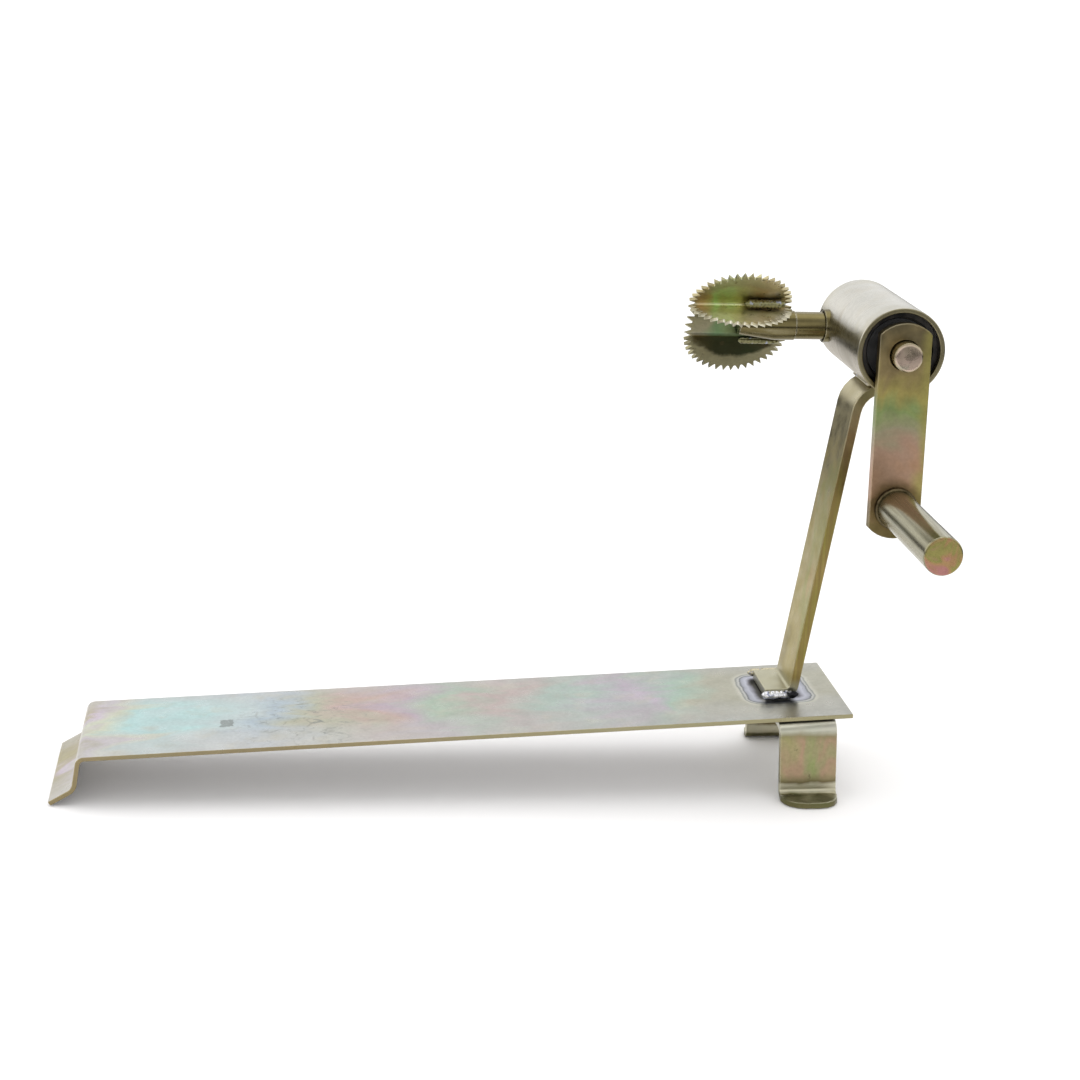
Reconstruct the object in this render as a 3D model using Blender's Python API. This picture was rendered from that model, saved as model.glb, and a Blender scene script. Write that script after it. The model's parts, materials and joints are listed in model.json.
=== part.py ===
"""Hand-cranked rotary coconut scraper: bent base plate, foot bracket, leaning upright, tube
housing with a right-angle bevel drive, crank with a fixed bar handle, and a folded toothed head.

Metres, +Z up. +X runs along the plate from its bent toe to the crank, -Y is the crank's side.
The origin is the bottom centre of the whole object's box."""

from math import acos, atan2, cos, pi, radians, sin, sqrt, tan

import bmesh
import bpy
from mathutils import Euler, Matrix, Vector

GAP = 0.0003                 # clearance between touching pieces
ROUND = 48                   # sides of a large turned piece
SMALL_ROUND = 24             # sides of a small turned piece
BEND_STEPS = 6               # facets in a bend
EDGE = 0.0004                # worn edge of sheet and bar

# overall
LENGTH = 0.3678              # toe tip to the housing's far side
HEIGHT = 0.2160              # ground to the top of the housing

# base plate
PLATE_WIDTH = 0.0660
PLATE_THICKNESS = 0.0020
PLATE_SHORT = 0.0255         # free end to the housing's far side
PLATE_BEND_Z = 0.0215        # top face above the ground at the bend
PLATE_END_Z = 0.0380         # top face above the ground at the free end
PLATE_BEND_RADIUS = 0.0030
TOE_REACH = 0.0118           # how far the toe runs out past the bend
TOE_KNEE_Z = 0.0068
TOE_KNEE_RADIUS = 0.0050

# flat bar and foot bracket
BAR_WIDTH = 0.0250
BRACKET_THICKNESS = 0.0028
BRACKET_INSET = 0.0200       # bracket centre to the plate's free end
BRACKET_OVERHANG = 0.0030    # leg's outer face past the plate's edge
BRACKET_RADIUS = 0.0035
FLANGE_REACH = 0.0110        # flange past the leg's outer face
FLANGE_CORNER = 0.0095

# upright
UPRIGHT_THICKNESS = 0.0042
UPRIGHT_INSET = 0.0215       # foot of the upright to the plate's free end
UPRIGHT_Y = 0.0235           # near edge of the plate to the upright's near side
UPRIGHT_BEND_BACK = 0.0082   # housing's axis to the corner of the top bend
UPRIGHT_TAB = 0.0125
UPRIGHT_FOOT_RADIUS = 0.0035
UPRIGHT_TOP_RADIUS = 0.0125
UPRIGHT_TOP_RUN = 0.0135     # past the housing's axis

# housing tube and what is pressed into it
HOUSING_OD = 0.0370
HOUSING_WALL = 0.0022
HOUSING_LENGTH = 0.0680
HOUSING_OVERHANG = 0.0020    # front rim in front of the plate's near edge
CAP_THICKNESS = 0.0022
CAP_DISH = 0.0008
CAP_RIM = 0.0022             # flat rim round the dish
CAP_SLOPE = 0.0010
GROOVE_Y = 0.0032            # front rim to the retaining ring's groove
RING_THICKNESS = 0.0012
RING_DEPTH = 0.0007
RING_WIDTH = 0.0024
RING_MOUTH = radians(24)

# crank bearing
BEARING_WIDTH = 0.0100
BALL_DIAMETER = 0.0046
BALL_COUNT = 8
BALL_SIDES = 10
SEAL_THICKNESS = 0.0008

# crank
SHAFT_DIAMETER = 0.0120
SHAFT_STUB = 0.0062          # past the arm's front face
SHAFT_CHAMFER = 0.0012
ARM_GAP = 0.0012             # front rim to the arm
ARM_THICKNESS = 0.0042
ARM_WIDTH = 0.0220
ARM_CENTRES = 0.0650         # crank axis to handle axis
ARM_END = 0.0132             # past each axis
ARM_SHOULDER = 0.0048        # height of the round at each end
ARM_ROUND_STEPS = 10
HANDLE_DIAMETER = 0.0160
HANDLE_LENGTH = 0.0680
HANDLE_OFFSET = 0.0015
HANDLE_CHAMFER = 0.0007

# bevel drive
GEAR_TEETH = 16
GEAR_PITCH_RADIUS = 0.0080
GEAR_ADDENDUM = 0.0007
GEAR_DEDENDUM = 0.0009
GEAR_SMALL_END = 0.60        # small end as a share of the distance to the apex
GEAR_TOOTH_ROOT = 0.52       # tooth width at the root, as a share of the pitch
GEAR_TOOTH_TIP = 0.22
GEAR_BACK = 0.0009           # thickness behind the teeth
GEAR_ROOM = 0.0013           # gear to the end cap
GEAR_HUB_RADIUS = 0.0062
CRANK_HUB_LENGTH = 0.0047
CUTTER_HUB_LENGTH = 0.0024
NOSE_DIAMETER = 0.0060       # shaft inside the gear
NOSE_ROOM = 0.0010           # one shaft's end to the other's side
PIN_DIAMETER = 0.0012
WASHER_THICKNESS = 0.0006
WASHER_RIM = 0.0006          # washer's edge past the shaft's side
BUSH_LENGTH = 0.0100

# cutter
CUTTER_BUSH_WALL = 0.0010
CUTTER_BUSH_PROUD = 0.0012
CUTTER_REACH = 0.0566        # crank axis to the middle of the toothed head
CUTTER_CORE_DIAMETER = 0.0060
CUTTER_SLEEVE_OD = 0.0128
CUTTER_SLEEVE_LENGTH = 0.0240
CUTTER_SLEEVE_TAPER = 0.0150 # length of the cone at its end
CUTTER_SLEEVE_TIP = 0.0084   # diameter at the end
DISC_RADIUS = 0.0226
DISC_THICKNESS = 0.0015
DISC_TEETH = 41
TOOTH_HEIGHT = 0.0030
TOOTH_ROOT = 0.78            # tooth width at the root, as a share of the pitch
TOOTH_TIP = 0.06
DISC_FOLD_RADIUS = 0.0018
DISC_FOLD_CUTS = 5
UPPER_WINGS = (radians(43), radians(-11))     # from straight towards the crank's side, upwards
LOWER_WINGS = (radians(233), radians(112))
UPPER_LEAD = 0.0038          # crease to where the wing passes the sleeve
LOWER_LEAD = 0.0031
UPPER_BEAD = 0.0019
LOWER_BEAD = 0.0013
LOWER_BEAD_SHIFT = 0.0010
BEAD_LENGTH = 0.0180
BEAD_START = 0.0010          # middle of the head to the beads

# welds
PLATE_BEAD = 0.0016
PLATE_BEAD_LENGTH = 0.0400
TAB_BEAD = 0.0019
HOUSING_BEAD = 0.0011
WELD_LEG = 0.0024

# places worked out from the sizes above
TOE_X = -LENGTH / 2
BEND_X = TOE_X + TOE_REACH
PLATE_END_X = LENGTH / 2 - PLATE_SHORT
TILT = atan2(PLATE_END_Z - PLATE_BEND_Z, PLATE_END_X - BEND_X)
AXIS_X = LENGTH / 2 - HOUSING_OD / 2
AXIS_Z = HEIGHT - HOUSING_OD / 2
REACH_FRONT = HOUSING_OVERHANG + ARM_GAP + ARM_THICKNESS + GAP + HANDLE_LENGTH
REACH_REAR = PLATE_WIDTH + BRACKET_OVERHANG + FLANGE_REACH
PLATE_Y = (REACH_FRONT - REACH_REAR) / 2
FRONT_Y = PLATE_Y - HOUSING_OVERHANG
HOUSING_IR = HOUSING_OD / 2 - HOUSING_WALL
CAP_Y = HOUSING_LENGTH - GAP - CAP_THICKNESS
SHAFT_R = SHAFT_DIAMETER / 2
ARM_FACE_Y = -ARM_GAP - ARM_THICKNESS

BEARING_Y = GROOVE_Y + RING_THICKNESS + 2 * GAP
BEARING_R = HOUSING_IR - GAP
BALL_CIRCLE_R = (BEARING_R + SHAFT_R + GAP) / 2
OUTER_RACE_R = BALL_CIRCLE_R + (BALL_DIAMETER + GAP) / 2
INNER_RACE_R = BALL_CIRCLE_R - (BALL_DIAMETER + GAP) / 2

CROSSING_Y = CAP_Y - GEAR_ROOM - GEAR_PITCH_RADIUS - GEAR_ADDENDUM    # the cutter's axis
NOSE_R = NOSE_DIAMETER / 2
NOSE_SHORT = NOSE_R + NOSE_ROOM                                       # crossing to a shaft's end
HUB_START = GEAR_PITCH_RADIUS + GEAR_DEDENDUM + GEAR_BACK             # crossing to a gear's hub
CRANK_HUB_END = HUB_START + CRANK_HUB_LENGTH
CUTTER_HUB_END = HUB_START + CUTTER_HUB_LENGTH
WASHER_ROOM = WASHER_THICKNESS + 2 * GAP
WASHER_RADIUS = SHAFT_R + WASHER_RIM
CUTTER_BUSH_R = SHAFT_R + GAP + CUTTER_BUSH_WALL
DISC_CLEARANCE = CUTTER_SLEEVE_OD / 2 + GAP + DISC_THICKNESS / 2

TURN_TO_Y = (radians(-90), 0, 0)
TURN_TO_X = (0, radians(90), 0)
TURN_BACK_Y = (radians(90), 0, 0)
TURN_BACK_X = (0, radians(-90), 0)


def clear_scene():
    for obj in list(bpy.data.objects):
        bpy.data.objects.remove(obj, do_unlink=True)


def metal(name, colour, roughness, metallic=1.0):
    mat = bpy.data.materials.new(name)
    mat.use_nodes = True
    shader = mat.node_tree.nodes["Principled BSDF"]
    shader.inputs["Base Color"].default_value = (*colour, 1.0)
    shader.inputs["Roughness"].default_value = roughness
    shader.inputs["Metallic"].default_value = metallic
    return mat


def empty(name, location):
    obj = bpy.data.objects.new(name, None)
    obj.location = location
    bpy.context.scene.collection.objects.link(obj)
    return obj


def place(name, bm, mat, parent=None, location=(0, 0, 0), rotation=(0, 0, 0), smooth=True):
    """Makes the object NAME from a bmesh, with its faces turned out."""
    bmesh.ops.recalc_face_normals(bm, faces=bm.faces)
    if bm.calc_volume(signed=True) < 0:
        bmesh.ops.reverse_faces(bm, faces=bm.faces)
    mesh = bpy.data.meshes.new(name)
    bm.to_mesh(mesh)
    bm.free()
    if smooth:
        mesh.shade_smooth()
        mesh.set_sharp_from_angle(angle=radians(35))
    obj = bpy.data.objects.new(name, mesh)
    mesh.materials.append(mat)
    obj.parent = parent
    obj.location = location
    obj.rotation_euler = rotation
    bpy.context.scene.collection.objects.link(obj)
    return obj


def worn_edges(obj, width=EDGE):
    """Rounds the sharp edges of sheet and bar."""
    bevel = obj.modifiers.new("worn_edges", "BEVEL")
    bevel.width = width
    bevel.segments = 2
    bevel.limit_method = "ANGLE"
    bevel.angle_limit = radians(50)
    return obj


def cut(obj, cutter):
    """Cuts the hidden object CUTTER out of OBJ."""
    cutter.hide_render = True
    cutter.display_type = "WIRE"
    boolean = obj.modifiers.new("cut", "BOOLEAN")
    boolean.operation = "DIFFERENCE"
    boolean.solver = "EXACT"
    boolean.object = cutter
    return obj


def turned(profile, sides=ROUND):
    """A solid turned about local Z. PROFILE is (radius, along); ends at radius 0 close it."""
    bm = bmesh.new()
    rings = []
    for radius, along in profile:
        if radius <= 0:
            rings.append([bm.verts.new((0, 0, along))])
            continue
        steps = [2 * pi * k / sides for k in range(sides)]
        rings.append([bm.verts.new((radius * cos(a), radius * sin(a), along)) for a in steps])
    hollow = profile[0][0] > 0
    pairs = list(zip(rings, rings[1:] + rings[:1])) if hollow else list(zip(rings, rings[1:]))
    for low, high in pairs:
        for k in range(sides):
            corners = [low[k % len(low)], low[(k + 1) % len(low)]]
            corners += [high[(k + 1) % len(high)], high[k % len(high)]]
            bm.faces.new(list(dict.fromkeys(corners)))
    return bm


def rod(radius, start, end, sides=SMALL_ROUND, chamfer=0.0):
    """A turned bar from START to END along local Z."""
    if chamfer <= 0:
        return turned([(0, start), (radius, start), (radius, end), (0, end)], sides)
    inner = radius - chamfer
    side = [(inner, start), (radius, start + chamfer), (radius, end - chamfer), (inner, end)]
    return turned([(0, start)] + side + [(0, end)], sides)


def tube(inner, outer, start, end, sides=ROUND):
    """A plain ring from START to END along local Z."""
    return turned([(inner, start), (outer, start), (outer, end), (inner, end)], sides)


def bead(radius, length, sides=12):
    """A weld bead along local Z with rounded ends, centred on its origin."""
    half = length / 2
    ends = [(radius * sin(a), radius * (1 - cos(a))) for a in (0, pi / 6, pi / 3, pi / 2)]
    profile = [(r, -half + z) for r, z in ends] + [(r, half - z) for r, z in reversed(ends)]
    return turned(profile, sides)


def bent_line(corners, radii):
    """Points and directions along a line whose inner corners are rounded."""
    points = [Vector(c) for c in corners]
    line = [(points[0], (points[1] - points[0]).normalized())]
    for before, corner, after, radius in zip(points, points[1:], points[2:], radii):
        go_in = (corner - before).normalized()
        go_out = (after - corner).normalized()
        turn = acos(max(-1.0, min(1.0, go_in.dot(go_out))))
        side = 1 if go_in.x * go_out.y - go_in.y * go_out.x > 0 else -1
        start = corner - go_in * radius * tan(turn / 2)
        centre = start + Vector((-go_in.y, go_in.x)) * side * radius
        for k in range(BEND_STEPS + 1):
            spin = Matrix.Rotation(side * turn * k / BEND_STEPS, 2)
            line.append((centre + spin @ (start - centre), spin @ go_in))
    line.append((points[-1], (points[-1] - points[-2]).normalized()))
    return line


def bent_strip(corners, radii, thickness, width):
    """A strip of sheet: its middle line is drawn in local XZ and it is WIDTH wide along Y."""
    line = bent_line(corners, radii)
    left = [p + Vector((-d.y, d.x)) * thickness / 2 for p, d in line]
    right = [p - Vector((-d.y, d.x)) * thickness / 2 for p, d in line]
    outline = left + right[::-1]
    bm = bmesh.new()
    near = [bm.verts.new((p.x, 0, p.y)) for p in outline]
    far = [bm.verts.new((p.x, width, p.y)) for p in outline]
    count, last = len(outline), len(line) - 1
    for k in range(count):
        after = (k + 1) % count
        bm.faces.new((near[k], near[after], far[after], far[k]))
    for side in (near, far):
        for k in range(last):
            bm.faces.new((side[k], side[k + 1], side[count - 2 - k], side[count - 1 - k]))
    return bm


def plate_top(x):
    """Height of the plate's top face at X."""
    return PLATE_BEND_Z + (x - BEND_X) * tan(TILT)


def make_base_plate(mat):
    half = PLATE_THICKNESS / 2
    tip = (TOE_X + half, half)
    knee = (BEND_X - half, TOE_KNEE_Z)
    bend = (BEND_X + half, PLATE_BEND_Z - half)
    end = (PLATE_END_X, PLATE_END_Z - half)
    radii = (TOE_KNEE_RADIUS, PLATE_BEND_RADIUS)
    bm = bent_strip((tip, knee, bend, end), radii, PLATE_THICKNESS, PLATE_WIDTH)
    reach = BEND_X - min(v.co.x for v in bm.verts)
    lowest = min(v.co.z for v in bm.verts)
    for vert in bm.verts:
        share = (BEND_X - vert.co.x) / reach
        if share > 0:
            vert.co.x = BEND_X - share * TOE_REACH
            vert.co.z -= lowest * share
    return worn_edges(place("base_plate", bm, mat, location=(0, PLATE_Y, 0)))


def make_foot_bracket(mat):
    """A strip bent to a bridge with two legs. The bridge follows the plate and the flanges lie flat."""
    half = BRACKET_THICKNESS / 2
    centre_x = PLATE_END_X - BRACKET_INSET
    bridge = plate_top(centre_x) - PLATE_THICKNESS / cos(TILT) - GAP - half
    reach = PLATE_WIDTH / 2 + BRACKET_OVERHANG - half
    toe = reach + FLANGE_REACH + half
    corners = ((-toe, half), (-reach, half), (-reach, bridge), (reach, bridge), (reach, half), (toe, half))
    bm = bent_strip(corners, (BRACKET_RADIUS,) * 4, BRACKET_THICKNESS, BAR_WIDTH)
    round_flange_ends(bm, toe)
    for vert in bm.verts:
        along, across = vert.co.y - BAR_WIDTH / 2, vert.co.x
        height = vert.co.z / bridge
        vert.co = (along + (1 - height) * bridge * tan(TILT), across, vert.co.z + height * along * tan(TILT))
    place_at = (centre_x, PLATE_Y + PLATE_WIDTH / 2, 0)
    return worn_edges(place("foot_bracket", bm, mat, location=place_at))


def round_flange_ends(bm, toe):
    """Rounds the flanges' corners, seen from above."""
    corners = []
    for edge in bm.edges:
        a, b = (v.co for v in edge.verts)
        upright = abs(a.x - b.x) < GAP and abs(a.y - b.y) < GAP
        if upright and abs(abs(a.x) - toe) < GAP:
            corners.append(edge)
    bmesh.ops.bevel(bm, geom=corners, offset=FLANGE_CORNER, segments=4, profile=0.5, affect="EDGES")


def upright_line():
    """Middle line of the upright in world XZ: tab, leaning bar and the run below the housing."""
    half = UPRIGHT_THICKNESS / 2
    foot_x = PLATE_END_X - UPRIGHT_INSET
    foot_z = plate_top(foot_x) + (half + GAP) / cos(TILT)
    top_z = AXIS_Z - HOUSING_OD / 2 - GAP - half
    tab = (foot_x - UPRIGHT_TAB, foot_z - UPRIGHT_TAB * tan(TILT))
    bend = (AXIS_X - UPRIGHT_BEND_BACK, top_z)
    return tab, (foot_x, foot_z), bend, (AXIS_X + UPRIGHT_TOP_RUN, top_z)


def make_upright(mat):
    radii = (UPRIGHT_FOOT_RADIUS, UPRIGHT_TOP_RADIUS)
    bm = bent_strip(upright_line(), radii, UPRIGHT_THICKNESS, BAR_WIDTH)
    return worn_edges(place("upright_bar", bm, mat, location=(0, PLATE_Y + UPRIGHT_Y, 0)))


def make_frame_welds(mat):
    """Beads between bracket and plate, tab and plate, and upright and housing."""
    under = PLATE_THICKNESS + PLATE_BEAD + 2 * GAP
    for side, name in ((-1, "bracket_weld_left"), (1, "bracket_weld_right")):
        x = PLATE_END_X - BRACKET_INSET + side * (BAR_WIDTH / 2 + PLATE_BEAD + 2 * GAP)
        where = (x, PLATE_Y + PLATE_WIDTH / 2, plate_top(x) - under)
        place(name, bead(PLATE_BEAD, PLATE_BEAD_LENGTH), mat, location=where, rotation=TURN_TO_Y)
    tab, foot = upright_line()[:2]
    middle = (tab[0] + foot[0]) / 2
    length = UPRIGHT_TAB + UPRIGHT_THICKNESS
    along_plate = (0, radians(90) - TILT, 0)
    near = PLATE_Y + UPRIGHT_Y
    for y, name in ((near, "upright_weld_front"), (near + BAR_WIDTH, "upright_weld_rear")):
        side = -1 if y == near else 1
        where = (middle, y + side * (TAB_BEAD + GAP), plate_top(middle) + TAB_BEAD + 2 * GAP)
        place(name, bead(TAB_BEAD, length), mat, location=where, rotation=along_plate)
    for spot, name in zip(housing_weld_spots(), ("housing_weld_left", "housing_weld_right")):
        where = (AXIS_X + spot.x, near + BAR_WIDTH / 2, AXIS_Z + spot.y)
        place(name, bead(HOUSING_BEAD, BAR_WIDTH), mat, location=where, rotation=TURN_TO_Y)


def housing_weld_spots():
    """Where a bead touches both the housing and the upright: at its bend and on its flat top."""
    reach = HOUSING_OD / 2 + GAP + HOUSING_BEAD
    drop = HOUSING_OD / 2 - HOUSING_BEAD
    right = Vector((sqrt(reach**2 - drop**2), -drop))
    foot, bend = (Vector(point) for point in upright_line()[1:3])
    turn = pi / 2 - atan2(bend.x - foot.x, bend.y - foot.y)
    outer = UPRIGHT_TOP_RADIUS + UPRIGHT_THICKNESS / 2
    centre = Vector((bend.x - AXIS_X + UPRIGHT_TOP_RADIUS * tan(turn / 2), -HOUSING_OD / 2 - GAP - outer))
    away = centre.length
    along = (reach**2 - (outer + GAP + HOUSING_BEAD) ** 2 + away**2) / (2 * away)
    across = sqrt(reach**2 - along**2)
    ahead = centre / away
    return ahead * along + Vector((ahead.y, -ahead.x)) * across, right


def make_housing(mats, hub):
    """The tube with its groove and bore for the cutter's bush, and what is pressed into it."""
    outer, inner = HOUSING_OD / 2, HOUSING_IR
    deep = inner + RING_DEPTH
    groove = (GROOVE_Y - GAP, GROOVE_Y + RING_THICKNESS + GAP)
    profile = [(inner, 0), (outer, 0), (outer, HOUSING_LENGTH), (inner, HOUSING_LENGTH)]
    profile += [(inner, groove[1]), (deep, groove[1]), (deep, groove[0]), (inner, groove[0])]
    shell = place("housing_tube", turned(profile), mats["housing"], hub, rotation=TURN_TO_Y)
    bore = rod(CUTTER_BUSH_R + GAP, -HOUSING_OD, 0, ROUND)
    where = (0, CROSSING_Y, 0)
    cut(shell, place("bush_bore", bore, mats["steel"], hub, location=where, rotation=TURN_TO_X))
    make_retaining_ring(mats["steel"], hub)
    make_rear_cap(mats["zinc"], hub)
    bush_end = CROSSING_Y - CRANK_HUB_END - WASHER_ROOM
    bush = tube(SHAFT_R + GAP, BEARING_R, bush_end - BUSH_LENGTH, bush_end)
    place("crank_bush", bush, mats["bronze"], hub, rotation=TURN_TO_Y)
    start, end = BEARING_Y + BEARING_WIDTH + GAP, bush_end - BUSH_LENGTH - GAP
    spacer = tube(OUTER_RACE_R, BEARING_R, start, end)
    place("spacer_sleeve", spacer, mats["steel"], hub, rotation=TURN_TO_Y)


def make_rear_cap(mat, hub):
    """A dished disc pressed into the housing's far end."""
    outside, dish = CAP_Y + CAP_THICKNESS, CAP_Y + CAP_THICKNESS - CAP_DISH
    rim = BEARING_R - CAP_RIM
    profile = [(0, CAP_Y), (BEARING_R, CAP_Y), (BEARING_R, outside), (rim, outside), (rim - CAP_SLOPE, dish)]
    place("rear_end_cap", turned(profile + [(0, dish)]), mat, hub, rotation=TURN_TO_Y)


def make_retaining_ring(mat, hub):
    """An open spring ring in the housing's groove."""
    outer = HOUSING_IR + RING_DEPTH - GAP
    inner = outer - RING_WIDTH
    bm = bmesh.new()
    sections = []
    for k in range(ROUND + 1):
        angle = -pi / 2 + RING_MOUTH / 2 + (2 * pi - RING_MOUTH) * k / ROUND
        square = [(inner, 0), (outer, 0), (outer, RING_THICKNESS), (inner, RING_THICKNESS)]
        sections.append([bm.verts.new((r * cos(angle), GROOVE_Y + y, r * sin(angle))) for r, y in square])
    for low, high in zip(sections, sections[1:]):
        for k in range(4):
            bm.faces.new((low[k], low[(k + 1) % 4], high[(k + 1) % 4], high[k]))
    bm.faces.new(sections[0])
    bm.faces.new(sections[-1])
    place("retaining_ring", bm, mat, hub)


def make_bearing(mats, hub, crank, cage):
    """A sealed ball bearing in the housing's mouth."""
    start, end = BEARING_Y, BEARING_Y + BEARING_WIDTH
    race = tube(OUTER_RACE_R, BEARING_R, start, end)
    place("bearing_outer_ring", race, mats["steel"], hub, rotation=TURN_TO_Y)
    race = tube(SHAFT_R + GAP, INNER_RACE_R, start, end)
    place("bearing_inner_ring", race, mats["steel"], crank, rotation=TURN_TO_Y)
    seal = tube(INNER_RACE_R + GAP, OUTER_RACE_R - GAP, start + GAP, start + GAP + SEAL_THICKNESS)
    place("bearing_seal", seal, mats["rubber"], hub, rotation=TURN_TO_Y)
    for k in range(BALL_COUNT):
        angle = 2 * pi * k / BALL_COUNT
        spot = (BALL_CIRCLE_R * cos(angle), (start + end) / 2, BALL_CIRCLE_R * sin(angle))
        ball = bmesh.new()
        bmesh.ops.create_uvsphere(
            ball, u_segments=BALL_SIDES, v_segments=BALL_SIDES // 2 + 1, radius=BALL_DIAMETER / 2
        )
        place(f"bearing_ball_{k + 1}", ball, mats["steel"], cage, location=spot)
    behind = (start + end) / 2 + BALL_DIAMETER / 2 + GAP
    half = BALL_DIAMETER / 3
    ribbon = tube(BALL_CIRCLE_R - half, BALL_CIRCLE_R + half, behind, behind + SEAL_THICKNESS)
    place("ball_cage", ribbon, mats["bronze"], cage, rotation=TURN_TO_Y)


def make_crank(mats, crank):
    """Shaft, arm and fixed bar handle, turning together about the housing's axis."""
    front = ARM_FACE_Y - SHAFT_STUB
    step, nose_end = CROSSING_Y - CRANK_HUB_END - WASHER_ROOM, CROSSING_Y - NOSE_SHORT
    profile = [(0, front), (SHAFT_R - SHAFT_CHAMFER, front), (SHAFT_R, front + SHAFT_CHAMFER)]
    profile += [(SHAFT_R, step), (NOSE_R, step), (NOSE_R, nose_end), (0, nose_end)]
    pin_y = CROSSING_Y - (HUB_START + CRANK_HUB_END) / 2
    shaft = place("crank_shaft", turned(profile, ROUND), mats["shaft"], crank, rotation=TURN_TO_Y)
    hole = rod(PIN_DIAMETER / 2 + GAP, -GEAR_HUB_RADIUS, GEAR_HUB_RADIUS)
    cut(shaft, place("crank_pin_hole", hole, mats["steel"], crank, location=(0, pin_y, 0)))
    make_arm(mats["arm"], crank)
    behind = GAP - ARM_GAP
    fillet = [(SHAFT_R + GAP, behind), (SHAFT_R + WELD_LEG, behind), (SHAFT_R + GAP, WELD_LEG)]
    place("arm_weld", turned(fillet), mats["weld"], crank, rotation=TURN_TO_Y)
    where = (HANDLE_OFFSET, 0, -ARM_CENTRES)
    near = ARM_FACE_Y - GAP
    radius, end = HANDLE_DIAMETER / 2, near - HANDLE_LENGTH
    profile = [(0, end), (radius - HANDLE_CHAMFER, end), (radius, end + HANDLE_CHAMFER)]
    profile += [(radius, near), (0, near)]
    place("crank_handle", turned(profile), mats["handle"], crank, location=where, rotation=TURN_TO_Y)
    fillet = [(radius + GAP, near), (radius + WELD_LEG, near), (radius + GAP, near - WELD_LEG)]
    place("handle_weld", turned(fillet), mats["weld"], crank, location=where, rotation=TURN_TO_Y)


def make_arm(mat, crank):
    """A flat bar with shallow round ends and a hole for the shaft."""
    half = ARM_WIDTH / 2
    radius = (half**2 + ARM_SHOULDER**2) / (2 * ARM_SHOULDER)
    spread = acos((radius - ARM_SHOULDER) / radius)
    turns = [spread - 2 * spread * k / ARM_ROUND_STEPS for k in range(ARM_ROUND_STEPS + 1)]
    top = [(-radius * sin(a), ARM_END - radius + radius * cos(a)) for a in turns]
    outline = top + [(HANDLE_OFFSET - x, -ARM_CENTRES - z) for x, z in top]
    bm = bmesh.new()
    face = bm.faces.new([bm.verts.new((x, ARM_FACE_Y, z)) for x, z in outline])
    grown = bmesh.ops.extrude_face_region(bm, geom=[face])
    verts = [item for item in grown["geom"] if isinstance(item, bmesh.types.BMVert)]
    bmesh.ops.translate(bm, verts=verts, vec=(0, ARM_THICKNESS, 0))
    arm = place("crank_arm", bm, mat, crank)
    hole = rod(SHAFT_R + GAP, ARM_FACE_Y - ARM_THICKNESS, ARM_THICKNESS, ROUND)
    cut(arm, place("arm_hole", hole, mat, crank, rotation=TURN_TO_Y))
    return worn_edges(arm)


def bevel_gear(hub_end):
    """A mitre gear about local Z with its apex at the origin and a tooth, or a gap, towards local X."""
    pitch = 2 * pi / GEAR_TEETH
    cone = 2 * GEAR_PITCH_RADIUS
    tip, root = GEAR_PITCH_RADIUS + GEAR_ADDENDUM, GEAR_PITCH_RADIUS - GEAR_DEDENDUM
    steps = ((-GEAR_TOOTH_ROOT, root), (-GEAR_TOOTH_TIP, tip), (GEAR_TOOTH_TIP, tip), (GEAR_TOOTH_ROOT, root))
    spots = [(pitch * (k + share / 2), radius) for k in range(GEAR_TEETH) for share, radius in steps]
    bm = bmesh.new()

    def ring(radius_of, height_of):
        return [
            bm.verts.new((radius_of(r) * cos(a), radius_of(r) * sin(a), height_of(r))) for a, r in spots
        ]

    small = GEAR_SMALL_END
    bore = NOSE_R + GAP
    loops = [
        ring(lambda r: bore, lambda r: (cone - root) * small),
        ring(lambda r: r * small, lambda r: (cone - r) * small),
        ring(lambda r: r, lambda r: cone - r),
        ring(lambda r: GEAR_HUB_RADIUS, lambda r: HUB_START),
        ring(lambda r: GEAR_HUB_RADIUS, lambda r: hub_end),
        ring(lambda r: bore, lambda r: hub_end),
    ]
    count = len(spots)
    for low, high in zip(loops, loops[1:] + loops[:1]):
        for k in range(count):
            after = (k + 1) % count
            bm.faces.new((low[k], low[after], high[after], high[k]))
    return bm


def make_gear_set(name, mats, hub, body, apex, turn, away, hub_end):
    """A mitre gear on BODY with its pin, and the thrust washer behind it, which the housing holds."""
    gear = place(f"{name}_gear", bevel_gear(hub_end), mats["gear"], body, apex, turn.to_euler(), smooth=False)
    pin_at = Vector(apex) + Euler(away).to_matrix() @ Vector((0, 0, (HUB_START + hub_end) / 2))
    hole = rod(PIN_DIAMETER / 2 + GAP, -2 * GEAR_HUB_RADIUS, 2 * GEAR_HUB_RADIUS)
    cut(gear, place(f"{name}_gear_pin_hole", hole, mats["steel"], body, location=pin_at))
    pin = rod(PIN_DIAMETER / 2, -GEAR_HUB_RADIUS, GEAR_HUB_RADIUS)
    place(f"{name}_gear_pin", pin, mats["steel"], body, location=pin_at)
    start = hub_end + GAP
    washer = tube(NOSE_R + GAP, WASHER_RADIUS, start, start + WASHER_THICKNESS, SMALL_ROUND)
    crossing = (0, CROSSING_Y, 0)
    place(f"{name}_thrust_washer", washer, mats["bronze"], hub, location=crossing, rotation=away)


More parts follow.
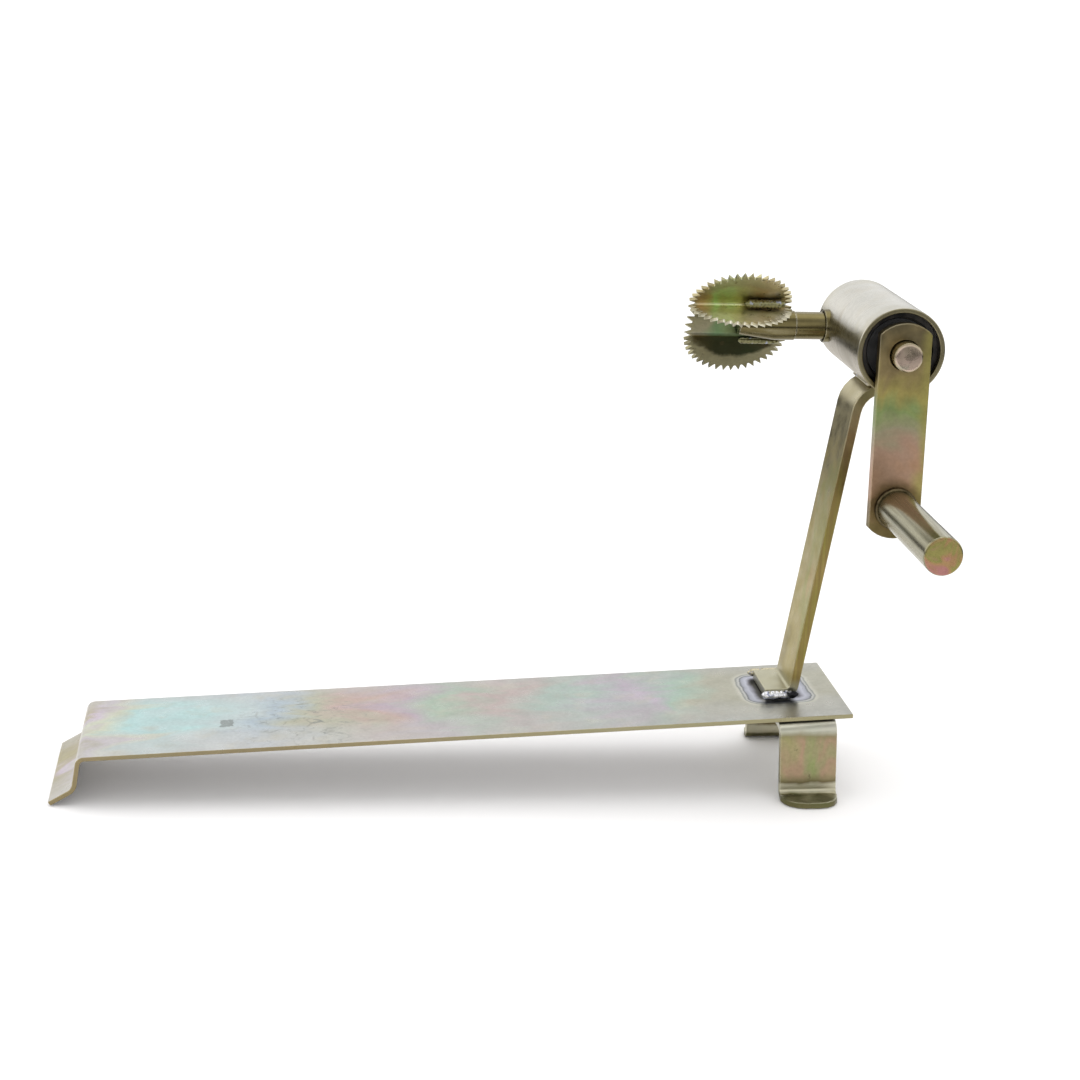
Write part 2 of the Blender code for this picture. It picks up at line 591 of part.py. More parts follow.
def make_drive(mats, hub, crank, cutter):
    """The two mitre gears, a tooth of one in a gap of the other, and the cutter's bush."""
    crossing = (0, CROSSING_Y, 0)
    to_crank = Matrix(((-1, 0, 0), (0, 0, -1), (0, -1, 0)))
    half_tooth = Matrix.Rotation(pi / GEAR_TEETH, 3, "Z")
    to_cutter = Matrix(((0, 0, -1), (-1, 0, 0), (0, 1, 0))) @ half_tooth
    make_gear_set("crank", mats, hub, crank, crossing, to_crank, TURN_BACK_Y, CRANK_HUB_END)
    make_gear_set("cutter", mats, hub, cutter, (0, 0, 0), to_cutter, TURN_BACK_X, CUTTER_HUB_END)
    end = HOUSING_OD / 2 + CUTTER_BUSH_PROUD
    bush = tube(SHAFT_R + GAP, CUTTER_BUSH_R, CUTTER_HUB_END + WASHER_ROOM, end)
    place("cutter_bush", bush, mats["bronze"], hub, location=crossing, rotation=TURN_BACK_X)


def make_cutter_shaft(mats, cutter):
    """The stepped shaft and the sleeve that carries the toothed discs, along local -X."""
    step = CUTTER_HUB_END + WASHER_ROOM
    sleeve_start = CUTTER_REACH - CUTTER_SLEEVE_LENGTH
    shoulder = sleeve_start - GAP
    core = CUTTER_CORE_DIAMETER / 2
    profile = [(0, NOSE_SHORT), (NOSE_R, NOSE_SHORT), (NOSE_R, step), (SHAFT_R, step)]
    profile += [(SHAFT_R, shoulder), (core, shoulder), (core, CUTTER_REACH), (0, CUTTER_REACH)]
    shaft = place("cutter_shaft", turned(profile), mats["shaft"], cutter, rotation=TURN_BACK_X)
    pin_x = -(HUB_START + CUTTER_HUB_END) / 2
    hole = rod(PIN_DIAMETER / 2 + GAP, -GEAR_HUB_RADIUS, GEAR_HUB_RADIUS)
    cut(shaft, place("cutter_pin_hole", hole, mats["steel"], cutter, location=(pin_x, 0, 0)))
    bore, outer = core + GAP, CUTTER_SLEEVE_OD / 2
    profile = [(bore, sleeve_start), (outer, sleeve_start), (outer, CUTTER_REACH - CUTTER_SLEEVE_TAPER)]
    profile += [(CUTTER_SLEEVE_TIP / 2, CUTTER_REACH), (bore, CUTTER_REACH)]
    place("cutter_sleeve", turned(profile), mats["shaft"], cutter, rotation=TURN_BACK_X)


def toothed_disc():
    """A flat toothed disc in local XY, cut across where it is to be folded."""
    pitch = 2 * pi / DISC_TEETH
    root, tip = DISC_RADIUS - TOOTH_HEIGHT, DISC_RADIUS
    steps = ((-TOOTH_ROOT, root), (-TOOTH_TIP, tip), (TOOTH_TIP, tip), (TOOTH_ROOT, root))
    spots = []
    for k in range(DISC_TEETH):
        for share, radius in steps:
            angle = pi / 2 + pitch * (k + 0.5 + share / 2)
            spots.append((radius * cos(angle), radius * sin(angle)))
    bm = bmesh.new()
    face = bm.faces.new([bm.verts.new((x, y, -DISC_THICKNESS / 2)) for x, y in spots])
    grown = bmesh.ops.extrude_face_region(bm, geom=[face])
    verts = [item for item in grown["geom"] if isinstance(item, bmesh.types.BMVert)]
    bmesh.ops.translate(bm, verts=verts, vec=(0, 0, DISC_THICKNESS))
    return bm


def folded_disc(wings, corner):
    """The toothed disc folded about local X so that its halves run along the two WINGS angles."""
    bisector = (wings[0] + wings[1]) / 2
    fold = pi - abs(wings[0] - wings[1])
    arc = DISC_FOLD_RADIUS * fold / 2
    bm = toothed_disc()
    for k in range(DISC_FOLD_CUTS):
        y = arc * (2 * k / (DISC_FOLD_CUTS - 1) - 1)
        geom = list(bm.verts) + list(bm.edges) + list(bm.faces)
        bmesh.ops.bisect_plane(bm, geom=geom, dist=1e-7, plane_co=(0, y, 0), plane_no=(0, 1, 0))
    sink = DISC_FOLD_RADIUS / cos(fold / 2) - DISC_FOLD_RADIUS
    for vert in bm.verts:
        x, y, z = vert.co
        inside = max(-arc, min(arc, y))
        angle = inside / DISC_FOLD_RADIUS
        arm = DISC_FOLD_RADIUS - z
        across = arm * sin(angle) + (y - inside) * cos(angle)
        out = DISC_FOLD_RADIUS - arm * cos(angle) + (y - inside) * sin(angle) + sink
        towards = corner[0] + out * cos(bisector) - across * sin(bisector)
        up = corner[1] + out * sin(bisector) + across * cos(bisector)
        vert.co = (x, -towards, up)
    return bm


def tangent_corner(wing, lead):
    """Corner of a folded disc whose WING lies along the sleeve's left side, starting LEAD before it."""
    normal = wing + pi / 2
    off = Vector((cos(normal), sin(normal))) * DISC_CLEARANCE
    return off - Vector((cos(wing), sin(wing))) * lead


def make_cutter_head(mats, cutter):
    """Two folded toothed discs on the sleeve, with the weld beads along their creases."""
    upper = tangent_corner(UPPER_WINGS[1], UPPER_LEAD)
    lower = tangent_corner(LOWER_WINGS[1], LOWER_LEAD)
    head = (-CUTTER_REACH, 0, 0)
    place("upper_cutter_disc", folded_disc(UPPER_WINGS, upper), mats["cutter"], cutter, location=head)
    place("lower_cutter_disc", folded_disc(LOWER_WINGS, lower), mats["cutter"], cutter, location=head)
    bead_x = -CUTTER_REACH + BEAD_START + BEAD_LENGTH / 2
    opening = (UPPER_WINGS[0] - UPPER_WINGS[1]) / 2
    bisector = (UPPER_WINGS[0] + UPPER_WINGS[1]) / 2
    reach = (UPPER_BEAD + DISC_THICKNESS / 2 + GAP) / sin(opening)
    spot = upper + Vector((cos(bisector), sin(bisector))) * reach
    place(
        "upper_disc_weld", bead(UPPER_BEAD, BEAD_LENGTH), mats["weld"], cutter,
        location=(bead_x, -spot.x, spot.y), rotation=TURN_TO_X,
    )
    wing = LOWER_WINGS[0]
    out = wing + pi / 2
    spot = lower + Vector((cos(out), sin(out))) * (LOWER_BEAD + DISC_THICKNESS / 2 + GAP)
    spot += Vector((cos(wing), sin(wing))) * LOWER_BEAD_SHIFT
    place(
        "lower_disc_weld", bead(LOWER_BEAD, BEAD_LENGTH), mats["weld"], cutter,
        location=(bead_x, -spot.x, spot.y), rotation=TURN_TO_X,
    )


def main():
    clear_scene()
    mats = {
        "plate": metal("zinc_plate", (0.60, 0.59, 0.54), 0.34),
        "zinc": metal("zinc_yellow", (0.52, 0.48, 0.33), 0.36),
        "arm": metal("zinc_arm", (0.45, 0.40, 0.24), 0.36),
        "handle": metal("zinc_handle", (0.52, 0.49, 0.38), 0.30),
        "housing": metal("housing_steel", (0.60, 0.58, 0.53), 0.30),
        "shaft": metal("shaft_steel", (0.50, 0.45, 0.36), 0.32),
        "cutter": metal("cutter_steel", (0.27, 0.28, 0.14), 0.38),
        "weld": metal("weld_steel", (0.55, 0.55, 0.54), 0.30),
        "steel": metal("bearing_steel", (0.56, 0.57, 0.58), 0.25),
        "gear": metal("gear_steel", (0.42, 0.42, 0.42), 0.35),
        "bronze": metal("bush_bronze", (0.50, 0.33, 0.16), 0.40),
        "rubber": metal("seal_rubber", (0.02, 0.02, 0.02), 0.70, metallic=0.0),
    }
    hub = empty("housing_axis", (AXIS_X, FRONT_Y, AXIS_Z))
    crank = empty("crank_axis", (AXIS_X, FRONT_Y, AXIS_Z))
    cage = empty("ball_cage_axis", (AXIS_X, FRONT_Y, AXIS_Z))
    cutter = empty("cutter_axis", (AXIS_X, FRONT_Y + CROSSING_Y, AXIS_Z))
    make_base_plate(mats["plate"])
    make_foot_bracket(mats["zinc"])
    make_upright(mats["zinc"])
    make_frame_welds(mats["weld"])
    make_housing(mats, hub)
    make_bearing(mats, hub, crank, cage)
    make_crank(mats, crank)
    make_drive(mats, hub, crank, cutter)
    make_cutter_shaft(mats, cutter)
    make_cutter_head(mats, cutter)


main()
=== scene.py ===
"""Looks of the hand-cranked coconut scraper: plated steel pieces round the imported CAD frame."""

import json
from math import cos, pi, radians, sin

import bmesh
import bpy
from mathutils import Matrix, Vector, noise


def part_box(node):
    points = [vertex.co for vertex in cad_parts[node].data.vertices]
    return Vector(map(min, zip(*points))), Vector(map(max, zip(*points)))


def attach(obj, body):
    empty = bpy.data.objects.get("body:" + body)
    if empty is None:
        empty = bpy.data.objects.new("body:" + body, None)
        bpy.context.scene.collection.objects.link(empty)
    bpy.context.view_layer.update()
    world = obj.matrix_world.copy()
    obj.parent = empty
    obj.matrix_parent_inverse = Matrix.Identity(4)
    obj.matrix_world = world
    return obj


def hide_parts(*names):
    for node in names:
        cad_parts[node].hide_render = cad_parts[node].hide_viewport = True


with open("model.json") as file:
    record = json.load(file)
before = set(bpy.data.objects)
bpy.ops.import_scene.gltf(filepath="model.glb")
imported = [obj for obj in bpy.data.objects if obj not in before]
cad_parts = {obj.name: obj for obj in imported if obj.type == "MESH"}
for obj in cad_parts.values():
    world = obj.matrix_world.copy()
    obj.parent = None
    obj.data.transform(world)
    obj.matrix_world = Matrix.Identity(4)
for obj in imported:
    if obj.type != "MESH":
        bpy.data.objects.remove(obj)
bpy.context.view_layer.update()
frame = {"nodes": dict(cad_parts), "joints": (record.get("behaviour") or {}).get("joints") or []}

FINE = 96                      # sides of a turned piece
SHARP = radians(52)            # edges that turn further stay sharp
TURNED_SHARP = radians(60)
SAME_POINT = 2e-6              # CAD points nearer than this are joined
FLAT = radians(0.4)            # CAD faces that turn less are joined
GROUND_ANGLE = radians(40)     # edges of the toothed discs that turn further are bevelled
CORNER_SHARE = 0.45            # of a side, at most, goes into rounding its corner

# metres
GAP = 0.0003                   # left round the cap, the ring and the spindle
SHELL_CORNER = 0.0006
BUSH_CORNER = 0.0004
HANDLE_CORNER = 0.0009
GROUND_WIDTH = 0.00016         # bevel on the toothed discs

# weld beads
BEAD_SIDES, BEAD_MIN_RINGS, RINGS_PER_RIPPLE = 28, 24, 9
RING_SIDES, STEPS_PER_RIPPLE = 16, 8
PUDDLE_LEAN = 0.45 * 0.9       # how far, in radii, a puddle's crest lags down its sides
END_LENGTH, END_SIZE = 1.1, 0.02
TAB_RIPPLE, TAB_SQUASH = 0.0021, 0.95
DISC_RIPPLE = 0.0016
HANDLE_FILLET = (0.0009, 0.0002, 0.0008)       # inset, how far past the bar, thickness
SHAFT_FILLET = (0.0010, 0.0006, 0.0010)

# places measured on the frame
plate_lo, plate_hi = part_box("base_plate")
bar_lo, bar_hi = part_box("upright_bar")
foot_lo, foot_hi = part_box("foot_bracket")
tube_lo, tube_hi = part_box("housing_tube")
arm_lo, arm_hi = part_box("crank_arm")
shaft_lo, shaft_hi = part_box("crank_shaft")
grip_lo, grip_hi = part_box("crank_handle")
bush_lo, bush_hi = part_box("cutter_bush")
head_lo, head_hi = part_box("upper_cutter_disc")
bead_lo, bead_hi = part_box("upright_weld_front")
JOINTS = {joint["name"]: joint for joint in frame["joints"]}
CRANK = Vector(JOINTS["crank_spin"]["pos_m"])
CUTTER = Vector(JOINTS["cutter_spin"]["pos_m"])

LENS = 72.7                    # camera, from the photograph's perspective
SENSOR = 36.0
CAMERA_AT = Vector((-0.0926, -0.8601, 0.3736))
CAMERA_YAW = radians(7.41)
CAMERA_PITCH = radians(16.56)
CAMERA_ROLL = radians(2.21)
FLOOR_SIZE = 1.5
FLOOR_DROP = 0.0002
SKY = [                        # grey from straight down to straight up
    (0.0, 0.03), (0.485, 0.03), (0.515, 0.80), (0.54, 1.0), (0.74, 1.0), (0.84, 0.62), (1.0, 0.62),
]
SKY_STRENGTH = 1.25
UPPER_CREASE = 0.0072          # creases of the toothed discs, above and below the spindle
LOWER_CREASE = 0.0055


# ---------------------------------------------------------------- shader helpers

class Shader:
    """Builds one node-based material. Its coordinates are the model's own, in metres."""

    def __init__(self, name):
        self.mat = bpy.data.materials.new(name)
        self.mat.use_nodes = True
        self.tree = self.mat.node_tree
        self.bsdf = self.tree.nodes["Principled BSDF"]
        self.coords = self.tree.nodes.new("ShaderNodeTexCoord").outputs["Object"]

    def put(self, socket, value):
        if isinstance(value, bpy.types.NodeSocket):
            self.tree.links.new(value, socket)
        elif isinstance(value, tuple) and len(value) == 3 and socket.type == "RGBA":
            socket.default_value = (*value, 1.0)
        else:
            socket.default_value = value

    def node(self, kind, **inputs):
        made = self.tree.nodes.new(kind)
        for key, value in inputs.items():
            self.put(made.inputs[key.replace("_", " ")], value)
        return made

    def scaled(self, scale, turn=(0, 0, 0)):
        made = self.node("ShaderNodeMapping", Vector=self.coords, Scale=scale, Rotation=turn)
        return made.outputs["Vector"]

    def noise(self, scale, detail=4.0, rough=0.55, warp=0.0, at=None):
        made = self.node("ShaderNodeTexNoise", Vector=at or self.coords, Scale=scale)
        for key, value in (("Detail", detail), ("Roughness", rough), ("Distortion", warp)):
            made.inputs[key].default_value = value
        return made.outputs["Fac"]

    def drift(self, amount, scale, detail, rough=0.55, warp=0.0, at=None):
        """Noise that wanders between -AMOUNT and AMOUNT."""
        return self.span(self.noise(scale, detail, rough, warp, at), 0.2, 0.8, -amount, amount)

    def patches(self, low, high, scale, detail, rough=0.55):
        """Noise that runs from LOW to HIGH in patches."""
        return self.span(self.noise(scale, detail, rough), 0.3, 0.7, low, high)

    def cell_borders(self, scale):
        """Distance from the borders of irregular cells."""
        made = self.tree.nodes.new("ShaderNodeTexVoronoi")
        made.feature = "DISTANCE_TO_EDGE"
        self.put(made.inputs["Vector"], self.coords)
        made.inputs["Scale"].default_value = scale
        return made.outputs["Distance"]

    def ramp(self, value, stops, smooth=False):
        made = self.tree.nodes.new("ShaderNodeValToRGB")
        self.tree.links.new(value, made.inputs["Fac"])
        bar = made.color_ramp
        bar.interpolation = "EASE" if smooth else "LINEAR"
        while len(bar.elements) < len(stops):
            bar.elements.new(0.5)
        for element, (at, colour) in zip(bar.elements, stops):
            element.position = at
            element.color = (*colour, 1.0) if isinstance(colour, tuple) else (*[colour] * 3, 1.0)
        return made.outputs["Color"]

    def span(self, value, start, end, low=0.0, high=1.0, smooth=False):
        made = self.tree.nodes.new("ShaderNodeMapRange")
        made.interpolation_type = "SMOOTHSTEP" if smooth else "LINEAR"
        given = {"Value": value, "From Min": start, "From Max": end, "To Min": low, "To Max": high}
        for key, number in given.items():
            self.put(made.inputs[key], number)
        return made.outputs["Result"]

    def mix(self, share, first, second, blend="MIX"):
        made = self.tree.nodes.new("ShaderNodeMix")
        made.data_type, made.blend_type = "RGBA", blend
        sockets = {socket.identifier: socket for socket in made.inputs}
        self.put(sockets["Factor_Float"], share)
        self.put(sockets["A_Color"], first)
        self.put(sockets["B_Color"], second)
        return next(socket for socket in made.outputs if socket.identifier == "Result_Color")

    def math(self, how, first, second=0.0):
        made = self.tree.nodes.new("ShaderNodeMath")
        made.operation = how
        self.put(made.inputs[0], first)
        self.put(made.inputs[1], second)
        return made.outputs["Value"]

    def vector(self, how, first, second=(0, 0, 0)):
        made = self.tree.nodes.new("ShaderNodeVectorMath")
        made.operation = how
        self.put(made.inputs[0], first)
        self.put(made.inputs[1], second)
        return made.outputs["Value" if how in ("LENGTH", "DOT_PRODUCT") else "Vector"]

    def axis(self, which):
        return self.node("ShaderNodeSeparateXYZ", Vector=self.coords).outputs[which]

    def facing(self, which):
        """One part of the surface's own direction, before any bump."""
        normal = self.tree.nodes.new("ShaderNodeNewGeometry").outputs["Normal"]
        return self.node("ShaderNodeSeparateXYZ", Vector=normal).outputs[which]

    def box_distance(self, centre, half):
        """Distance outside a box, which has round corners further out."""
        away = self.vector("ABSOLUTE", self.vector("SUBTRACT", self.coords, centre))
        return self.vector("LENGTH", self.vector("MAXIMUM", self.vector("SUBTRACT", away, half)))

    def worn_edge(self, radius):
        """1 along the piece's edges, 0 on its faces."""
        bevel = self.tree.nodes.new("ShaderNodeBevel")
        bevel.samples = 4
        bevel.inputs["Radius"].default_value = radius
        plain = self.tree.nodes.new("ShaderNodeNewGeometry").outputs["Normal"]
        same = self.vector("DOT_PRODUCT", bevel.outputs["Normal"], plain)
        return self.span(same, 0.995, 0.90, smooth=True)

    def rubbed(self, colour, edge, share, width):
        """COLOUR, with its edges worn to EDGE over WIDTH metres."""
        return self.mix(self.math("MULTIPLY", self.worn_edge(width), share), colour, edge)

    def bump(self, height, distance, strength=1.0, under=None):
        made = self.node("ShaderNodeBump", Height=height, Distance=distance, Strength=strength)
        if under is not None:
            self.tree.links.new(under, made.inputs["Normal"])
        return made.outputs["Normal"]

    def finish(self, colour, roughness, normal=None, metallic=1.0):
        self.put(self.bsdf.inputs["Base Color"], colour)
        self.put(self.bsdf.inputs["Roughness"], roughness)
        self.put(self.bsdf.inputs["Metallic"], metallic)
        if normal is not None:
            self.put(self.bsdf.inputs["Normal"], normal)
        return self.mat


# ---------------------------------------------------------------- colours and surface sizes

GOLD = [
    (0.24, 0.19, 0.05), (0.31, 0.25, 0.07), (0.32, 0.26, 0.09), (0.27, 0.25, 0.06), (0.35, 0.26, 0.10),
]
LEG = [
    (0.28, 0.30, 0.10), (0.32, 0.28, 0.15), (0.37, 0.26, 0.17), (0.30, 0.28, 0.15), (0.27, 0.30, 0.13),
]
BAR = [(0.20, 0.18, 0.11), (0.31, 0.29, 0.19), (0.25, 0.23, 0.14), (0.38, 0.37, 0.28)]
SHAFT = [(0.20, 0.17, 0.09), (0.34, 0.29, 0.17), (0.44, 0.39, 0.27)]
SPINDLE = [(0.09, 0.075, 0.03), (0.15, 0.125, 0.055), (0.25, 0.22, 0.13)]
BAR_END = [(0.40, 0.19, 0.17), (0.36, 0.22, 0.11), (0.26, 0.24, 0.08), (0.40, 0.19, 0.17)]
SHAFT_END = [(0.44, 0.36, 0.27), (0.54, 0.42, 0.34), (0.42, 0.38, 0.29)]
# heat colours of the discs' wings, each wing made lighter or darker as painted light and painted shade
WING_TOP = [
    (0.62, 0.50, 0.28), (0.54, 0.66, 0.33), (0.56, 0.56, 0.28), (0.52, 0.40, 0.22), (0.64, 0.55, 0.36),
]
WING_FRONT_LIT = [(0.76, 0.74, 0.60), (0.90, 0.88, 0.78), (0.84, 0.80, 0.64), (0.92, 0.88, 0.74)]
WING_UNDER_SHADED = [(0.30, 0.28, 0.20), (0.17, 0.26, 0.14), (0.20, 0.25, 0.13), (0.27, 0.26, 0.15)]
WING_LOW_SHADED = [(0.06, 0.045, 0.012), (0.028, 0.030, 0.008), (0.026, 0.034, 0.010), (0.05, 0.038, 0.012)]
PLATE_BANDS = [                # along the plate, from its toe
    (0.00, (0.34, 0.30, 0.16)), (0.035, (0.40, 0.35, 0.26)), (0.055, (0.50, 0.43, 0.50)),
    (0.085, (0.54, 0.56, 0.44)), (0.13, (0.40, 0.58, 0.57)), (0.21, (0.46, 0.53, 0.53)),
    (0.27, (0.38, 0.45, 0.50)), (0.33, (0.41, 0.41, 0.31)), (0.40, (0.46, 0.34, 0.30)),
    (0.46, (0.43, 0.35, 0.40)), (0.52, (0.34, 0.43, 0.34)), (0.58, (0.44, 0.36, 0.34)),
    (0.66, (0.36, 0.44, 0.39)), (0.72, (0.42, 0.36, 0.42)), (0.78, (0.33, 0.44, 0.36)),
    (0.84, (0.38, 0.37, 0.29)), (1.00, (0.37, 0.36, 0.29)),
]
PLAIN_SHARE = [(0.0, 0.75), (0.28, 0.45), (0.40, 0.0), (0.78, 0.0), (1.0, 0.6)]    # near to far
HALO_BANDS = [                 # from the tab outwards
    (0.00, (0.03, 0.03, 0.035)), (0.13, (0.05, 0.05, 0.06)), (0.22, (0.22, 0.22, 0.27)),
    (0.34, (0.42, 0.43, 0.50)), (0.48, (0.30, 0.31, 0.36)), (0.55, (0.10, 0.11, 0.12)),
    (0.60, (0.46, 0.46, 0.44)), (0.68, (0.20, 0.21, 0.19)), (0.73, (0.46, 0.45, 0.38)),
]
# dark toes, with painted highlights on the lower and the top bend
BRACKET_TOES_AND_BEND_HIGHLIGHTS = [              # from the ground up
    (0.00, (0.15, 0.14, 0.06)), (0.07, (0.10, 0.10, 0.04)), (0.11, (0.46, 0.44, 0.32)),
    (0.19, (0.52, 0.50, 0.38)), (0.23, (0.14, 0.12, 0.06)), (0.27, (0.20, 0.18, 0.09)),
    (0.82, (0.22, 0.20, 0.11)), (0.90, (0.46, 0.46, 0.38)), (1.00, (0.54, 0.54, 0.48)),
]
# share of the toe and bend bands, with their painted highlights, from the ground up
BEND_HIGHLIGHT_SHARE = [(0.0, 0.9), (0.24, 0.9), (0.34, 0.0), (0.76, 0.0), (0.84, 0.9), (1.0, 0.9)]
HOUSING_HUES = [(0.3, (0.50, 0.46, 0.37)), (0.5, (0.56, 0.54, 0.48)), (0.7, (0.53, 0.50, 0.41))]
# painted shade on the underside, a painted highlight band near the top
HOUSING_PAINTED_LIGHT = [              # from its underside up
    (0.00, (0.40, 0.33, 0.18)), (0.22, (0.36, 0.30, 0.17)), (0.40, (0.32, 0.28, 0.19)),
    (0.58, (0.55, 0.54, 0.50)), (0.74, (1.0, 1.0, 1.0)), (1.00, (0.86, 0.87, 0.88)),
]
ARM_BANDS = [                  # from the handle up
    (0.00, (0.10, 0.08, 0.03)), (0.12, (0.18, 0.14, 0.06)), (0.25, (0.44, 0.27, 0.17)),
    (0.38, (0.42, 0.28, 0.20)), (0.50, (0.34, 0.31, 0.20)), (0.62, (0.26, 0.33, 0.13)),
    (0.72, (0.38, 0.32, 0.11)), (0.82, (0.30, 0.23, 0.11)), (1.00, (0.15, 0.125, 0.07)),
]
DIRT = (0.10, 0.085, 0.055)
SIDE_BROWN = (0.20, 0.145, 0.055)
TAB_GREY = (0.44, 0.43, 0.32)
# painted highlight on the upright's top bend
BEND_HIGHLIGHT = (0.50, 0.46, 0.32)
SMOKE = (0.11, 0.08, 0.03)
TIP_OLIVE = (0.36, 0.33, 0.20)
HEAT_BLUE = (0.34, 0.36, 0.46)
SOOT = (0.02, 0.02, 0.022)

SCRATCH_ACROSS, SCRATCH_ALONG = 900.0, 22.0    # noise scales of drawn-out grain
STREAK_ACROSS, STREAK_ALONG = 260.0, 9.0

# metres
RUB = 0.0006                   # width of a rubbed edge
PLATE_RUB = 0.0007
BAR_RUB = 0.0005
DISC_RUB = 0.0004
FINE_DEPTH = 0.00002
SCRATCH_DEPTH = 0.00003
STREAK_DEPTH = 0.00005
WELD_DEPTH = 0.00008
DENT_DEPTH = 0.0006
DISC_DENT_DEPTH = 0.0005
PLATE_DENT_DEPTH = 0.0008
TAB_SILVER = (0.003, 0.010)    # up from the upright's lowest point: full, and none
# reach of the painted highlight on the upright's top bend
BEND_HIGHLIGHT_REACH = (0.045, 0.010)   # down from its highest point: none, and full
MARKS_RISE = 0.026             # height of the plate's marks over its lowest point
STAINS_AT = (0.106, -0.006)    # past the toe, and from the middle line
STAINS_REACH = (0.012, 0.042)  # full, and none
STAMP_AT = (0.0735, -0.003)
STAMP_HALF = (0.0022, 0.0034, 1.0)
STAMP_FADE = (0.0002, 0.0010)
STAMP_RAGGED = 0.0010
HALO_INSET = 0.002
HALO_REACH = 0.012
HALO_RAGGED = 0.0007
SMOKE_REACH = (0.0085, 0.0150)
SMOKE_RAGGED = 0.0025
TIPS_REACH = (0.0190, 0.0225)  # from the head's middle: none, and full
TIPS_RAGGED = 0.0020
CREASE_BLEND = 0.0008
SOOT_X = bead_lo.x + 0.0115    # the front bead is black beyond this
SOOT_BLEND = 0.0012
SOOT_RAGGED = 0.0025


# ---------------------------------------------------------------- materials

def speckled(sh, colour, amount=0.10):
    """Fine crystal grain of zinc plating, with a few larger cloudy patches."""
    grain = sh.patches(1.0 - amount, 1.0 + amount * 0.6, 700.0, 3.0)
    cloud = sh.patches(1.0 - amount, 1.0 + amount * 0.5, 75.0, 4.0, 0.6)
    both = sh.math("MULTIPLY", grain, cloud)
    grey = sh.node("ShaderNodeCombineXYZ", X=both, Y=both, Z=both).outputs[0]
    return sh.mix(1.0, colour, grey, "MULTIPLY")


def even_stops(hues, start, end):
    """Ramp stops with the HUES evenly spaced from START to END."""
    return [(start + (end - start) * k / (len(hues) - 1), hue) for k, hue in enumerate(hues)]


def grime(sh, colour, dirt=DIRT, scale=240.0, start=0.66, end=0.74, share=0.75):
    """Small dark stains."""
    spots = sh.span(sh.noise(scale, 5.0, 0.65), start, end, 0.0, share, smooth=True)
    return sh.mix(spots, colour, dirt)


def scratch_height(sh, direction, scale=1.0):
    """Grain drawn out along one axis."""
    stretch = [SCRATCH_ACROSS * scale] * 3
    stretch["XYZ".index(direction)] = SCRATCH_ALONG * scale
    return sh.noise(1.0, 3.0, 0.6, at=sh.scaled(tuple(stretch)))


def scratched_and_dented(sh, direction, dents, strength, depth=DENT_DEPTH):
    """Fine scratches along one axis, over shallow dents of noise scale DENTS."""
    normal = sh.bump(scratch_height(sh, direction), SCRATCH_DEPTH, 0.5)
    return sh.bump(sh.noise(dents, 2.0), depth, strength, under=normal)


def zinc_film(sh, hues, scale):
    """Yellow zinc whose HUES drift in long patches up and down the piece."""
    film = sh.noise(scale, 2.5, 0.5, 0.8, at=sh.scaled((1, 1, 0.5)))
    return grime(sh, speckled(sh, sh.ramp(film, even_stops(hues, 0.28, 0.72), True)))


def zinc_finish(sh, colour, edge, wear=0.7):
    """Worn edges and a soft, slightly brushed surface over COLOUR."""
    colour = sh.rubbed(colour, edge, wear, RUB)
    roughness = sh.patches(0.27, 0.42, 150.0, 4.0)
    return sh.finish(colour, roughness, scratched_and_dented(sh, "Z", 30.0, 0.35))


def upright_steel():
    """Upright: olive gold, browner on its narrow sides, silvery at the tab, with a painted highlight on
    its top bend.
    """
    sh = Shader("yellow_zinc_upright")
    colour = zinc_film(sh, GOLD, 34.0)
    streak = sh.span(sh.noise(1.0, 3.0, at=sh.scaled((700.0, 700.0, 12.0))), 0.4, 0.6, 0.35, 0.85)
    side = sh.span(sh.math("ABSOLUTE", sh.facing("Y")), 0.5, 0.9)
    colour = sh.mix(sh.math("MULTIPLY", side, streak), colour, SIDE_BROWN)
    start, end = (bar_lo.z + rise for rise in TAB_SILVER)
    colour = sh.mix(sh.span(sh.axis("Z"), start, end, 0.85, 0.0, smooth=True), colour, TAB_GREY)
    # painted highlight on the top bend
    start, end = (bar_hi.z - drop for drop in BEND_HIGHLIGHT_REACH)
    colour = sh.mix(sh.span(sh.axis("Z"), start, end, 0.0, 0.55, smooth=True), colour, BEND_HIGHLIGHT)
    return zinc_finish(sh, colour, (0.56, 0.52, 0.38))


def bracket_steel():
    """Foot bracket: painted highlights on its bends, olive and pink legs, dark olive toes with a bright
    rim.
    """
    sh = Shader("yellow_zinc_bracket")
    film = zinc_film(sh, LEG, 60.0)
    wander = sh.drift(0.03, 90.0, 3.0)
    height = sh.math("ADD", sh.span(sh.axis("Z"), foot_lo.z, foot_hi.z), wander)
    # bends carry painted highlights
    share, bends = sh.ramp(height, BEND_HIGHLIGHT_SHARE), sh.ramp(height, BRACKET_TOES_AND_BEND_HIGHLIGHTS)
    return zinc_finish(sh, sh.mix(share, film, bends), (0.66, 0.64, 0.50), 0.85)


